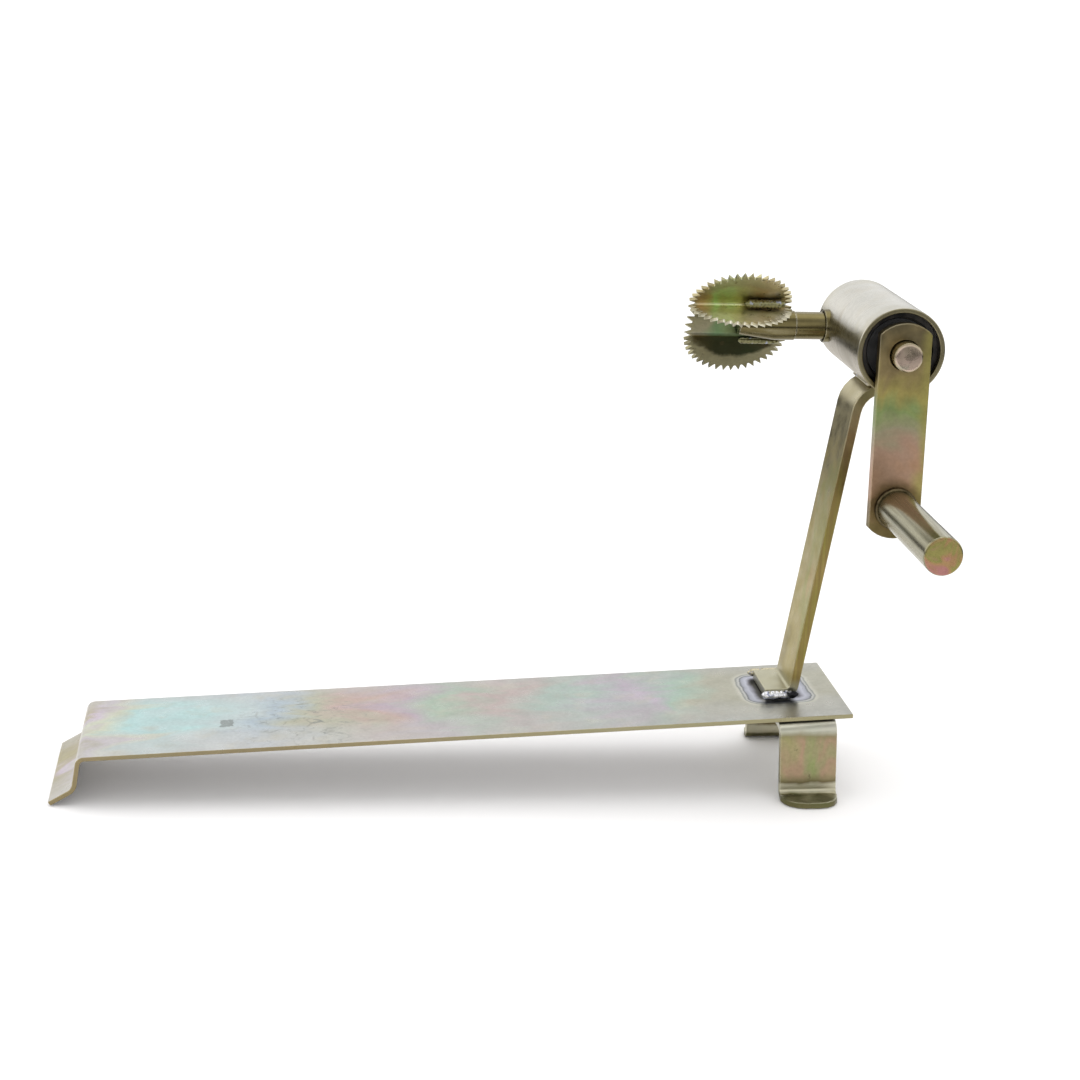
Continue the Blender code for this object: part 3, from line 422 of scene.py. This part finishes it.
def plate_steel():
    """Base plate: pastel film bands, stains, and the weld's heat halo round the tab."""
    sh = Shader("pale_iridescent_plate")
    x = sh.span(sh.axis("X"), plate_lo.x, plate_hi.x)
    drift = sh.drift(0.075, 26.0, 3.0, 0.5, 1.2, at=sh.scaled((0.7, 1.6, 1.0)))
    film = sh.ramp(sh.math("ADD", x, drift), PLATE_BANDS)
    y = sh.span(sh.axis("Y"), plate_lo.y, plate_hi.y)
    wander = sh.drift(0.10, 40.0, 3.0)
    across = sh.ramp(sh.math("ADD", y, wander), PLAIN_SHARE)
    plain = sh.ramp(x, [(0.3, (0.49, 0.48, 0.47)), (0.75, (0.38, 0.38, 0.36))])
    colour = sh.mix(across, film, plain)
    blotch = sh.span(sh.noise(80.0, 4.0, 0.55), 0.52, 0.72, 0.0, 0.35, smooth=True)
    colour = sh.mix(blotch, colour, (0.46, 0.43, 0.35))
    colour = speckled(sh, colour, 0.08)
    away = sh.vector("LENGTH", sh.vector("SUBTRACT", sh.coords, on_plate(*STAINS_AT)))
    near = sh.span(away, *STAINS_REACH, 1.0, 0.0, True)
    wisps = sh.noise(230.0, 6.0, 0.72, 1.4, at=sh.scaled((0.6, 1, 1), (0, 0, 0.5)))
    stain = sh.span(wisps, 0.56, 0.64, 0.0, 0.75, True)
    crack = sh.span(sh.cell_borders(105.0), 0.01, 0.07, 1.0, 0.0)
    crack = sh.math("MULTIPLY", crack, sh.span(sh.noise(140.0, 4.0), 0.52, 0.60, 0.0, 0.4))
    colour = sh.mix(sh.math("MULTIPLY", crack, near), colour, (0.16, 0.16, 0.14))
    colour = sh.mix(sh.math("MULTIPLY", stain, near), colour, (0.17, 0.18, 0.17))
    colour = grime(sh, colour, (0.20, 0.19, 0.15), 300.0, 0.70, 0.78, 0.8)
    colour = sh.mix(stamp_mark(sh), colour, (0.16, 0.18, 0.17))
    colour = weld_halo(sh, colour)
    near_edge = sh.ramp(x, [(0.3, (0.21, 0.16, 0.06)), (0.7, (0.30, 0.27, 0.14))])
    colour = sh.mix(sh.span(sh.facing("Y"), -0.4, -0.8, 0.0, 0.85), colour, near_edge)
    colour = sh.mix(sh.span(sh.facing("Z"), -0.4, -0.8), colour, (0.34, 0.33, 0.31))
    colour = sh.rubbed(colour, (0.44, 0.36, 0.18), 0.65, PLATE_RUB)
    roughness = sh.patches(0.25, 0.40, 120.0, 4.0)
    normal = sh.bump(scratch_height(sh, "X", 0.8), FINE_DEPTH, 0.5)
    normal = sh.bump(sh.noise(24.0, 2.0), PLATE_DENT_DEPTH, 0.25, under=normal)
    return sh.finish(colour, roughness, normal)


def on_plate(past_toe, beside):
    """A point of the plate, given from its toe and from its middle line."""
    return plate_lo.x + past_toe, (plate_lo.y + plate_hi.y) / 2 + beside, plate_lo.z + MARKS_RISE


def stamp_mark(sh):
    """A small dark patch with ragged sides near the plate's left end."""
    ragged = sh.drift(STAMP_RAGGED, 600.0, 4.0)
    away = sh.math("ADD", sh.box_distance(on_plate(*STAMP_AT), STAMP_HALF), ragged)
    return sh.span(away, *STAMP_FADE, 0.75, 0.0, smooth=True)


def weld_halo(sh, colour):
    """Blue-grey heat tint and dark outlines in an oval round the upright's tab."""
    tab_end, foot = bar_lo.x, bead_hi.x
    centre = ((tab_end + foot) / 2, (bar_lo.y + bar_hi.y) / 2, (plate_lo.z + plate_hi.z) / 2)
    half = ((foot - tab_end) / 2, (bar_hi.y - bar_lo.y) / 2 - HALO_INSET, 1.0)
    wander = sh.drift(HALO_RAGGED, 160.0, 4.0)
    far = sh.math("ADD", sh.box_distance(centre, half), wander)
    reach = sh.span(far, 0.0, HALO_REACH)
    top_face = sh.span(sh.facing("Z"), 0.5, 0.8)
    shown = sh.math("MULTIPLY", sh.span(reach, 0.72, 0.92, 0.95, 0.0, smooth=True), top_face)
    return sh.mix(shown, colour, sh.ramp(reach, HALO_BANDS))


def housing_steel():
    """Turned silver tube with fine lathe lines, painted shade low down and on its front rim, a painted
    highlight band near its top.
    """
    sh = Shader("satin_turned_steel")
    lines = sh.noise(1.0, 2.0, at=sh.scaled((40.0, 2600.0, 40.0)))
    cloud = sh.noise(38.0, 3.0, 0.5, 0.6)
    up = sh.span(sh.axis("Z"), tube_lo.z, tube_hi.z)
    height = sh.math("ADD", up, sh.span(cloud, 0.3, 0.7, -0.06, 0.06))
    # painted shade low down, painted highlight band high up
    shade = sh.ramp(height, HOUSING_PAINTED_LIGHT, True)
    colour = sh.mix(1.0, sh.ramp(cloud, HOUSING_HUES, True), shade, "MULTIPLY")
    # painted shade on the front-facing rim
    front = sh.span(sh.facing("Y"), -0.6, -0.9)
    colour = sh.mix(front, colour, (0.25, 0.22, 0.13))
    colour = grime(sh, speckled(sh, colour, 0.07), (0.20, 0.16, 0.10), 260.0, 0.68, 0.78, 0.6)
    colour = sh.rubbed(colour, (0.46, 0.44, 0.36), 0.45, RUB)
    clouded = sh.span(cloud, 0.3, 0.7, 0.0, 0.08)
    roughness = sh.math("ADD", sh.span(lines, 0.3, 0.7, 0.20, 0.30), clouded)
    return sh.finish(colour, roughness, sh.bump(lines, FINE_DEPTH, 0.45))


def arm_steel():
    """Crank arm: olive gold with a green and a pink patch of film, sooty round the handle."""
    sh = Shader("olive_gold_arm")
    z = sh.span(sh.axis("Z"), arm_lo.z, arm_hi.z)
    drift = sh.drift(0.15, 48.0, 3.0, 0.5, 0.9)
    film = sh.ramp(sh.math("ADD", z, drift), ARM_BANDS)
    x = sh.span(sh.axis("X"), arm_lo.x, arm_hi.x)
    side = sh.span(sh.math("ADD", x, drift), 0.72, 0.98, 0.0, 0.8, smooth=True)
    colour = sh.mix(side, film, (0.36, 0.32, 0.10))
    joint = ((grip_lo.x + grip_hi.x) / 2, grip_hi.y, (grip_lo.z + grip_hi.z) / 2)
    smoke = sh.vector("LENGTH", sh.vector("SUBTRACT", sh.coords, joint))
    smoke = sh.math("ADD", smoke, sh.drift(SMOKE_RAGGED, 120.0, 4.0))
    colour = sh.mix(sh.span(smoke, *SMOKE_REACH, 0.8, 0.0, smooth=True), colour, SMOKE)
    colour = grime(sh, speckled(sh, colour, 0.08), (0.14, 0.10, 0.06), 260.0, 0.69, 0.78, 0.7)
    colour = sh.rubbed(colour, (0.52, 0.47, 0.34), 0.65, RUB)
    roughness = sh.patches(0.28, 0.42, 150.0, 4.0)
    return sh.finish(colour, roughness, scratched_and_dented(sh, "Z", 34.0, 0.3))


def turned_bar(name, hues, along, rough, end_hues=None):
    """Drawn round bar: long streaks along it, and its own film on ends that face along Y."""
    sh = Shader(name)
    stretch = [STREAK_ACROSS] * 3
    stretch["XYZ".index(along)] = STREAK_ALONG
    streaks = sh.noise(1.0, 4.0, 0.6, at=sh.scaled(tuple(stretch)))
    colour = sh.ramp(streaks, even_stops(hues, 0.32, 0.68), True)
    if end_hues:
        ends = sh.ramp(sh.noise(75.0, 2.0, 0.5, 0.8), even_stops(end_hues, 0.34, 0.66), True)
        colour = sh.mix(sh.span(sh.math("ABSOLUTE", sh.facing("Y")), 0.75, 0.95), colour, ends)
    colour = grime(sh, speckled(sh, colour, 0.07), (0.15, 0.12, 0.07), 300.0, 0.68, 0.77, 0.6)
    colour = sh.rubbed(colour, (0.64, 0.60, 0.48), 0.6, BAR_RUB)
    roughness = sh.span(streaks, 0.3, 0.7, *rough)
    return sh.finish(colour, roughness, sh.bump(streaks, STREAK_DEPTH, 0.35))


def cutter_steel(name, above, below, crease):
    """Toothed disc: heat colours from left to right, with painted light and painted shade ABOVE and
    BELOW its crease, olive tips.
    """
    sh = Shader(name)
    x = sh.span(sh.axis("X"), head_lo.x, head_hi.x)
    drift = sh.drift(0.22, 60.0, 2.0, 0.5, 1.0)
    place = sh.math("ADD", x, drift)
    # each wing's colours carry its painted light and painted shade
    lit_and_shaded_wings = [sh.ramp(place, even_stops(hues, 0.10, 0.90), True) for hues in (below, above)]
    colour = sh.mix(sh.span(sh.axis("Z"), crease - CREASE_BLEND, crease + CREASE_BLEND), *lit_and_shaded_wings)
    middle = ((head_lo.x + head_hi.x) / 2, CUTTER.y, CUTTER.z)
    out = sh.vector("LENGTH", sh.vector("SUBTRACT", sh.coords, middle))
    rim = sh.math("ADD", out, sh.drift(TIPS_RAGGED, 160.0, 3.0))
    colour = sh.mix(sh.span(rim, *TIPS_REACH, 0.0, 0.7, smooth=True), colour, TIP_OLIVE)
    colour = grime(sh, speckled(sh, colour, 0.10), (0.07, 0.05, 0.02), 210.0, 0.60, 0.72, 0.7)
    colour = sh.rubbed(colour, (0.55, 0.54, 0.42), 0.5, DISC_RUB)
    roughness = sh.patches(0.26, 0.42, 170.0, 4.0)
    normal = scratched_and_dented(sh, "X", 60.0, 0.4, DISC_DENT_DEPTH)
    return sh.finish(colour, roughness, normal)


def weld_metal(name, light, dark, rough=(0.12, 0.30), sooty_from=None):
    """Weld bead: LIGHT metal, DARK hollows, a blue heat tint, black beyond SOOTY_FROM along X."""
    sh = Shader(name)
    heat = sh.noise(420.0, 3.0, 0.5, 0.5)
    stops = [(0.30, dark), (0.42, light), (0.56, light), (0.66, HEAT_BLUE), (0.8, dark)]
    colour = sh.ramp(heat, stops, True)
    if sooty_from is not None:
        x = sh.math("ADD", sh.axis("X"), sh.drift(SOOT_RAGGED, 300.0, 3.0))
        colour = sh.mix(sh.span(x, sooty_from - SOOT_BLEND, sooty_from + SOOT_BLEND), colour, SOOT)
    roughness = sh.patches(*rough, 500.0, 3.0)
    return sh.finish(colour, roughness, sh.bump(sh.noise(900.0, 3.0), WELD_DEPTH, 0.6))


def plain_metal(name, low, high, rough, metallic=1.0):
    """Small inner pieces, between the colours LOW and HIGH."""
    sh = Shader(name)
    colour = sh.ramp(sh.noise(260.0, 4.0), [(0.35, low), (0.65, high)], True)
    normal = sh.bump(sh.noise(1040.0, 2.0), FINE_DEPTH, 0.4)
    return sh.finish(colour, sh.patches(*rough, 520.0, 3.0), normal, metallic)


LOOKS = {
    "plate": plate_steel(),
    "upright": upright_steel(),
    "bracket": bracket_steel(),
    "housing": housing_steel(),
    "arm": arm_steel(),
    "handle": turned_bar("drawn_zinc_handle", BAR, "Y", (0.16, 0.34), BAR_END),
    "shaft": turned_bar("drawn_shaft", SHAFT, "Y", (0.20, 0.36), SHAFT_END),
    "spindle": turned_bar("drawn_spindle", SPINDLE, "X", (0.16, 0.32)),
    "upper_disc": cutter_steel("olive_upper_disc", WING_TOP, WING_FRONT_LIT, CUTTER.z + UPPER_CREASE),
    # the lower disc's dark colours are painted shade
    "lower_disc": cutter_steel("shaded_lower_disc", WING_UNDER_SHADED, WING_LOW_SHADED, CUTTER.z - LOWER_CREASE),
    "weld": weld_metal("bright_weld", (0.66, 0.66, 0.68), (0.05, 0.05, 0.06), sooty_from=SOOT_X),
    "plated_weld": weld_metal("plated_weld", (0.46, 0.42, 0.30), (0.12, 0.10, 0.06), (0.22, 0.40)),
    "dark_weld": weld_metal("olive_weld", (0.24, 0.23, 0.12), (0.06, 0.05, 0.02), (0.26, 0.44)),
    "steel": plain_metal("bearing_steel", (0.50, 0.51, 0.52), (0.62, 0.62, 0.62), (0.14, 0.26)),
    # black oxide, darkened further as painted shade in the housing's recess
    "blackened_and_shaded": plain_metal("blackened_shaded_steel", (0.03, 0.03, 0.03), (0.06, 0.055, 0.05), (0.30, 0.50)),
    "gear": plain_metal("gear_steel", (0.34, 0.34, 0.34), (0.46, 0.46, 0.46), (0.26, 0.42)),
    "bronze": plain_metal("bush_bronze", (0.42, 0.27, 0.12), (0.55, 0.38, 0.20), (0.30, 0.45)),
    "soot": plain_metal("sooty_fillet", (0.05, 0.04, 0.02), (0.14, 0.11, 0.06), (0.35, 0.50)),
    "rubber": plain_metal("seal_rubber", (0.015, 0.015, 0.015), (0.03, 0.03, 0.03), (0.55, 0.75), 0.0),
}


# ---------------------------------------------------------------- pieces

def show(obj, look, body, slot, *nodes):
    """Gives a piece its finish, its body and the CAD nodes it stands for."""
    obj.data.materials.clear()
    obj.data.materials.append(LOOKS[look])
    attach(obj, body)
    if nodes:
        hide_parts(*nodes)


def make(name, bm, sharp=SHARP):
    """An object from a bmesh, shaded smooth up to SHARP."""
    bmesh.ops.recalc_face_normals(bm, faces=bm.faces)
    if bm.calc_volume(signed=True) < 0:
        bmesh.ops.reverse_faces(bm, faces=bm.faces)
    mesh = bpy.data.meshes.new(name)
    bm.to_mesh(mesh)
    bm.free()
    mesh.shade_smooth()
    mesh.set_sharp_from_angle(angle=sharp)
    obj = bpy.data.objects.new(name, mesh)
    bpy.context.scene.collection.objects.link(obj)
    even = obj.modifiers.new("even_normals", "WEIGHTED_NORMAL")
    even.keep_sharp = True
    return obj


def refined(name, node):
    """A CAD node's solid with its faces joined up again, so that its bends shade smoothly."""
    bm = bmesh.new()
    bm.from_mesh(frame["nodes"][node].data)
    bmesh.ops.remove_doubles(bm, verts=bm.verts, dist=SAME_POINT)
    bmesh.ops.dissolve_limit(bm, angle_limit=FLAT, verts=bm.verts, edges=bm.edges)
    return make(name, bm)


def lathe(profile):
    """A solid turned about local Z. PROFILE is (radius, along); ends at radius 0 close it."""
    bm = bmesh.new()
    rings = []
    for radius, along in profile:
        if radius <= 0:
            rings.append([bm.verts.new((0, 0, along))])
            continue
        turns = [2 * pi * k / FINE for k in range(FINE)]
        rings.append([bm.verts.new((radius * cos(a), radius * sin(a), along)) for a in turns])
    pairs = list(zip(rings, rings[1:]))
    if profile[0][0] > 0:
        pairs.append((rings[-1], rings[0]))
    for low, high in pairs:
        for k in range(FINE):
            corners = [low[k % len(low)], low[(k + 1) % len(low)]]
            corners += [high[(k + 1) % len(high)], high[k % len(high)]]
            bm.faces.new(list(dict.fromkeys(corners)))
    return bm


def round_corner(corner, start, end, radius, steps=4):
    """A profile's corner, rounded off between the directions towards START and END."""
    corner, start, end = Vector(corner), Vector(start), Vector(end)
    one = corner + (start - corner).normalized() * radius
    two = corner + (end - corner).normalized() * radius
    points = []
    for k in range(steps + 1):
        t = k / steps
        points.append((1 - t) ** 2 * one + 2 * t * (1 - t) * corner + t * t * two)
    return [(p.x, p.y) for p in points]


def softened(profile, radius):
    """A closed profile with every corner off the axis rounded."""
    count, points = len(profile), []
    for k, corner in enumerate(profile):
        before, after = profile[k - 1], profile[(k + 1) % count]
        if corner[0] <= 0:
            points.append(corner)
            continue
        room = min((Vector(corner) - Vector(p)).length for p in (before, after)) * CORNER_SHARE
        points += round_corner(corner, before, after, min(radius, room))
    return points


TO_Y = Matrix.Rotation(radians(-90), 4, "X")       # local Z to world +Y
TO_BACK_X = Matrix.Rotation(radians(-90), 4, "Y")  # local Z to world -X


def turned_on(name, profile, at, turn, radius):
    """A turned piece with softened corners, about an axis through AT."""
    bm = lathe(softened(profile, radius))
    bmesh.ops.transform(bm, matrix=Matrix.Translation(at) @ turn, verts=bm.verts)
    return make(name, bm, TURNED_SHARP)


def puddle(phase, depth):
    """A bead's size along one puddle: 1 on its crest, 1 - DEPTH at its ends."""
    return 1 - depth + depth * (1 - (2 * phase - 1) ** 2) ** 0.5


def skin(bm, pairs):
    """Faces from ring to ring, for PAIRS of rings with the same number of points."""
    for low, high in pairs:
        for k in range(len(low)):
            after = (k + 1) % len(low)
            bm.faces.new((low[k], low[after], high[after], high[k]))


def bead_between(start, end, radius, squash, ripple=0.00115, seed=0.0):
    """A weld bead from START to END: overlapping puddles, each a little off line and size."""
    start, end = Vector(start), Vector(end)
    along = (end - start).normalized()
    side = along.cross(Vector((0, 0, 1))).normalized()
    up = side.cross(along)
    length = (end - start).length
    rings = max(BEAD_MIN_RINGS, int(length / ripple * RINGS_PER_RIPPLE))
    bm = bmesh.new()
    loops = []
    for i in range(rings + 1):
        s = length * i / rings
        taper = min(1.0, (min(s, length - s) / (radius * END_LENGTH)) + END_SIZE) ** 0.5
        loop = []
        for k in range(BEAD_SIDES):
            angle = 2 * pi * k / BEAD_SIDES
            crest = s + PUDDLE_LEAN * radius * (1 - sin(angle))
            where = Vector((s * 700, cos(angle) * 1.5 + seed, sin(angle) * 1.5))
            wobble = 1 + 0.10 * noise.noise(where)
            r = radius * taper * puddle((crest / ripple) % 1.0, 0.16) * wobble
            out = side * r * cos(angle) + up * r * squash * sin(angle)
            loop.append(bm.verts.new(start + along * s + out))
        loops.append(loop)
    skin(bm, zip(loops, loops[1:]))
    bm.faces.new(loops[0])
    bm.faces.new(loops[-1])
    return bm


def ring_bead(centre, turn, major, minor, ripples, seed=0.0):
    """A rippled fillet round a bar, about local Z."""
    bm = bmesh.new()
    steps = ripples * STEPS_PER_RIPPLE
    loops = []
    for i in range(steps):
        angle = 2 * pi * i / steps
        loop = []
        for k in range(RING_SIDES):
            t = 2 * pi * k / RING_SIDES
            scale = puddle((i / STEPS_PER_RIPPLE + 0.25 * cos(t)) % 1.0, 0.14)
            scale *= 1 + 0.08 * noise.noise(Vector((cos(angle) * 3 + seed, sin(angle) * 3, t)))
            r = major + minor * scale * cos(t)
            loop.append(bm.verts.new((r * cos(angle), r * sin(angle), minor * scale * sin(t))))
        loops.append(loop)
    skin(bm, zip(loops, loops[1:] + loops[:1]))
    bmesh.ops.transform(bm, matrix=Matrix.Translation(centre) @ turn, verts=bm.verts)
    return bm


def frame_pieces():
    """Base plate, bracket and upright, with their beads."""
    show(refined("bent_base_sheet", "base_plate"), "plate", "frame", "plate", "base_plate")
    show(refined("bent_foot_strap", "foot_bracket"), "bracket", "frame", "zinc", "foot_bracket")
    show(refined("bent_upright_flat", "upright_bar"), "upright", "frame", "zinc", "upright_bar")
    seams = ("bracket_weld_left", "bracket_weld_right", "housing_weld_left", "housing_weld_right")
    for k, node in enumerate(seams):
        lo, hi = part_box(node)
        radius = (hi.x - lo.x) / 2
        middle = (lo + hi) / 2
        ends = [(middle.x, y, middle.z) for y in (lo.y, hi.y)]
        bm = bead_between(*ends, radius, 1.0, seed=k)
        show(make("seam_" + node, bm), "plated_weld", "frame", "weld", node)
    seams = (("upright_weld_front", "weld"), ("upright_weld_rear", "plated_weld"))
    for k, (node, look) in enumerate(seams):
        lo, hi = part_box(node)
        radius = (hi.y - lo.y) / 2
        drop = (hi.z - lo.z) / 2 - radius
        middle = (lo + hi) / 2
        ends = [(lo.x, middle.y, middle.z - drop), (hi.x, middle.y, middle.z + drop)]
        bm = bead_between(*ends, radius, TAB_SQUASH, ripple=TAB_RIPPLE, seed=5 + k)
        show(make("seam_" + node, bm), look, "frame", "weld", node)


def housing_pieces():
    """Tube, cap and the spindle's bush."""
    outer = (tube_hi.x - tube_lo.x) / 2
    cap_lo, cap_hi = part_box("rear_end_cap")
    inner = (cap_hi.x - cap_lo.x) / 2 + GAP
    axis = Vector((CRANK.x, tube_lo.y, CRANK.z))
    length = tube_hi.y - tube_lo.y
    ring_lo, ring_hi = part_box("retaining_ring")
    groove = (ring_lo.y - tube_lo.y - GAP, ring_hi.y - tube_lo.y + GAP)
    deep = (ring_hi.x - ring_lo.x) / 2 + GAP
    profile = [(inner, 0), (outer, 0), (outer, length), (inner, length)]
    profile += [(inner, groove[1]), (deep, groove[1]), (deep, groove[0]), (inner, groove[0])]
    shell = turned_on("turned_housing_shell", profile, axis, TO_Y, SHELL_CORNER)
    show(shell, "housing", "frame", "housing", "housing_tube")
    show(refined("pressed_end_cap", "rear_end_cap"), "housing", "frame", "zinc", "rear_end_cap")
    start, reach = CRANK.x - bush_hi.x, CRANK.x - bush_lo.x
    spindle_lo, spindle_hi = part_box("cutter_shaft")
    bore = (spindle_hi.z - spindle_lo.z) / 2 + GAP
    outer = (bush_hi.z - bush_lo.z) / 2
    profile = [(bore, start), (outer, start), (outer, reach), (bore, reach)]
    where = Vector((CRANK.x, CUTTER.y, CUTTER.z))
    bush = turned_on("flush_spindle_bush", profile, where, TO_BACK_X, BUSH_CORNER)
    show(bush, "spindle", "frame", "bronze", "cutter_bush")


def crank_pieces():
    """Shaft, arm, handle and their fillets."""
    show(refined("drilled_crank_arm", "crank_arm"), "arm", "crank", "arm", "crank_arm")
    show(refined("stepped_crank_shaft", "crank_shaft"), "shaft", "crank", "shaft", "crank_shaft")
    radius, length = (grip_hi.x - grip_lo.x) / 2, grip_hi.y - grip_lo.y
    at = Vector(((grip_lo.x + grip_hi.x) / 2, grip_lo.y, (grip_lo.z + grip_hi.z) / 2))
    profile = [(0, 0), (radius, 0), (radius, length), (0, length)]
    grip = turned_on("sawn_round_handle", profile, at, TO_Y, HANDLE_CORNER)
    show(grip, "handle", "crank", "handle", "crank_handle")
    inset, past, thick = HANDLE_FILLET
    foot = Vector((at.x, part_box("handle_weld")[1].y - inset, at.z))
    bm = ring_bead(foot, TO_Y, radius + past, thick, ripples=20)
    show(make("seam_handle", bm), "soot", "crank", "weld", "handle_weld")
    inset, past, thick = SHAFT_FILLET
    foot = Vector((CRANK.x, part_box("arm_weld")[0].y + inset, CRANK.z))
    shaft_r = (shaft_hi.x - shaft_lo.x) / 2
    bm = ring_bead(foot, TO_Y, shaft_r + past, thick, ripples=22, seed=3.0)
    show(make("seam_arm", bm), "plated_weld", "crank", "weld", "arm_weld")


def cutter_pieces():
    """Toothed discs, the sleeve and the spindle."""
    for side in ("upper", "lower"):
        node = side + "_cutter_disc"
        disc = refined(side + "_toothed_fold", node)
        bevel = disc.modifiers.new("ground_edges", "BEVEL")
        bevel.width, bevel.segments = GROUND_WIDTH, 2
        bevel.limit_method, bevel.angle_limit = "ANGLE", GROUND_ANGLE
        disc.modifiers.move(1, 0)                  # before the normals are evened
        show(disc, side + "_disc", "cutter", "cutter", node)
    show(refined("stepped_spindle", "cutter_shaft"), "spindle", "cutter", "shaft", "cutter_shaft")
    show(refined("tapered_head_sleeve", "cutter_sleeve"), "spindle", "cutter", "shaft", "cutter_sleeve")
    for k, node in enumerate(("upper_disc_weld", "lower_disc_weld")):
        lo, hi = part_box(node)
        middle = (lo + hi) / 2
        ends = [(x, middle.y, middle.z) for x in (lo.x, hi.x)]
        bm = bead_between(*ends, (hi.z - lo.z) / 2, 1.0, ripple=DISC_RIPPLE, seed=9 + k)
        show(make("seam_" + node, bm), "dark_weld", "cutter", "weld", node)


def dress_inner_nodes():
    """The bearing, the drive and what else stays as CAD made it."""
    looks = {
        # rings in the housing's recess: blackened, and dark as painted shade
        "bearing_outer_ring": "blackened_and_shaded", "bearing_inner_ring": "blackened_and_shaded",
        "bearing_seal": "rubber", "retaining_ring": "blackened_and_shaded",
        "spacer_sleeve": "steel", "crank_bush": "bronze", "ball_cage": "bronze",
        "crank_gear": "gear", "cutter_gear": "gear",
        "crank_gear_pin": "steel", "cutter_gear_pin": "steel",
        "crank_thrust_washer": "bronze", "cutter_thrust_washer": "bronze",
    }
    for name, obj in frame["nodes"].items():
        look = "steel" if name.startswith("bearing_ball") else looks.get(name)
        if look:
            obj.data.materials.clear()
            obj.data.materials.append(LOOKS[look])


# ---------------------------------------------------------------- stage

def make_floor():
    """White ground, just under the scraper."""
    sh = Shader("white_sweep")
    bpy.ops.mesh.primitive_plane_add(size=FLOOR_SIZE, location=(0, 0, -FLOOR_DROP))
    floor = bpy.context.object
    floor.name = "studio_floor"
    tone = sh.ramp(sh.noise(3.0, 2.0), [(0.3, (0.97, 0.96, 0.96)), (0.7, (0.99, 0.98, 0.98))])
    floor.data.materials.append(sh.finish(tone, 0.9, metallic=0.0))


def make_world():
    """White to the camera; to the metal, a bright dome above a dark band below the horizon."""
    world = bpy.data.worlds.new("studio")
    bpy.context.scene.world = world
    world.use_nodes = True
    tree = world.node_tree
    back = tree.nodes["Background"]
    coords = tree.nodes.new("ShaderNodeTexCoord").outputs["Generated"]
    split = tree.nodes.new("ShaderNodeSeparateXYZ")
    tree.links.new(coords, split.inputs[0])
    ramp = tree.nodes.new("ShaderNodeValToRGB")
    span = tree.nodes.new("ShaderNodeMapRange")
    for key, value in (("From Min", -1.0), ("From Max", 1.0)):
        span.inputs[key].default_value = value
    tree.links.new(split.outputs["Z"], span.inputs["Value"])
    tree.links.new(span.outputs["Result"], ramp.inputs["Fac"])
    bar = ramp.color_ramp
    while len(bar.elements) < len(SKY):
        bar.elements.new(0.5)
    for element, (at, grey) in zip(bar.elements, SKY):
        element.position = at
        element.color = (grey, grey, grey, 1.0)
    path = tree.nodes.new("ShaderNodeLightPath")
    mix = tree.nodes.new("ShaderNodeMix")
    mix.data_type = "RGBA"
    sockets = {s.identifier: s for s in mix.inputs}
    tree.links.new(path.outputs["Is Camera Ray"], sockets["Factor_Float"])
    tree.links.new(ramp.outputs["Color"], sockets["A_Color"])
    sockets["B_Color"].default_value = (1.0, 1.0, 1.0, 1.0)
    result = next(s for s in mix.outputs if s.identifier == "Result_Color")
    tree.links.new(result, back.inputs["Color"])
    back.inputs["Strength"].default_value = SKY_STRENGTH


def area_light(name, at, towards, size, power):
    """A white rectangle of light at AT, facing TOWARDS."""
    data = bpy.data.lights.new(name, "AREA")
    data.shape = "RECTANGLE"
    data.size, data.size_y = size
    data.energy = power
    lamp = bpy.data.objects.new(name, data)
    lamp.location = at
    lamp.rotation_euler = (Vector(towards) - Vector(at)).to_track_quat("-Z", "Y").to_euler()
    bpy.context.scene.collection.objects.link(lamp)


def sky_light(name, power, spread, tilt):
    """Even light from overhead, the same all over the floor. Its angles are in degrees."""
    data = bpy.data.lights.new(name, "SUN")
    data.energy = power
    data.angle = radians(spread)
    lamp = bpy.data.objects.new(name, data)
    lamp.rotation_euler = (radians(tilt[0]), radians(tilt[1]), 0)
    bpy.context.scene.collection.objects.link(lamp)


def make_camera():
    """The camera the photograph was taken from."""
    data = bpy.data.cameras.new("photo_camera")
    data.lens = LENS
    data.sensor_width = SENSOR
    level = cos(CAMERA_PITCH)
    ahead = Vector((sin(CAMERA_YAW) * level, cos(CAMERA_YAW) * level, -sin(CAMERA_PITCH)))
    right = Vector((cos(CAMERA_YAW), -sin(CAMERA_YAW), 0))
    up = right.cross(ahead)
    across = right * cos(CAMERA_ROLL) + up * sin(CAMERA_ROLL)
    over = up * cos(CAMERA_ROLL) - right * sin(CAMERA_ROLL)
    turn = Matrix((across, over, -ahead)).transposed().to_4x4()
    camera = bpy.data.objects.new("photo_camera", data)
    camera.matrix_world = Matrix.Translation(CAMERA_AT) @ turn
    bpy.context.scene.collection.objects.link(camera)
    bpy.context.scene.camera = camera


make_camera()
make_floor()
make_world()
area_light("overhead_softbox", at=(0.1, 0.25, 1.6), towards=(0, 0.1, 0), size=(1.8, 1.4), power=4)
area_light("left_softbox", at=(-1.3, 0.5, 0.9), towards=(0, 0, 0.1), size=(0.8, 1.0), power=3)
sky_light("even_daylight", power=0.6, spread=60, tilt=(-12, 8))
bpy.context.scene.view_settings.view_transform = "Standard"

frame_pieces()
housing_pieces()
crank_pieces()
cutter_pieces()
dress_inner_nodes()
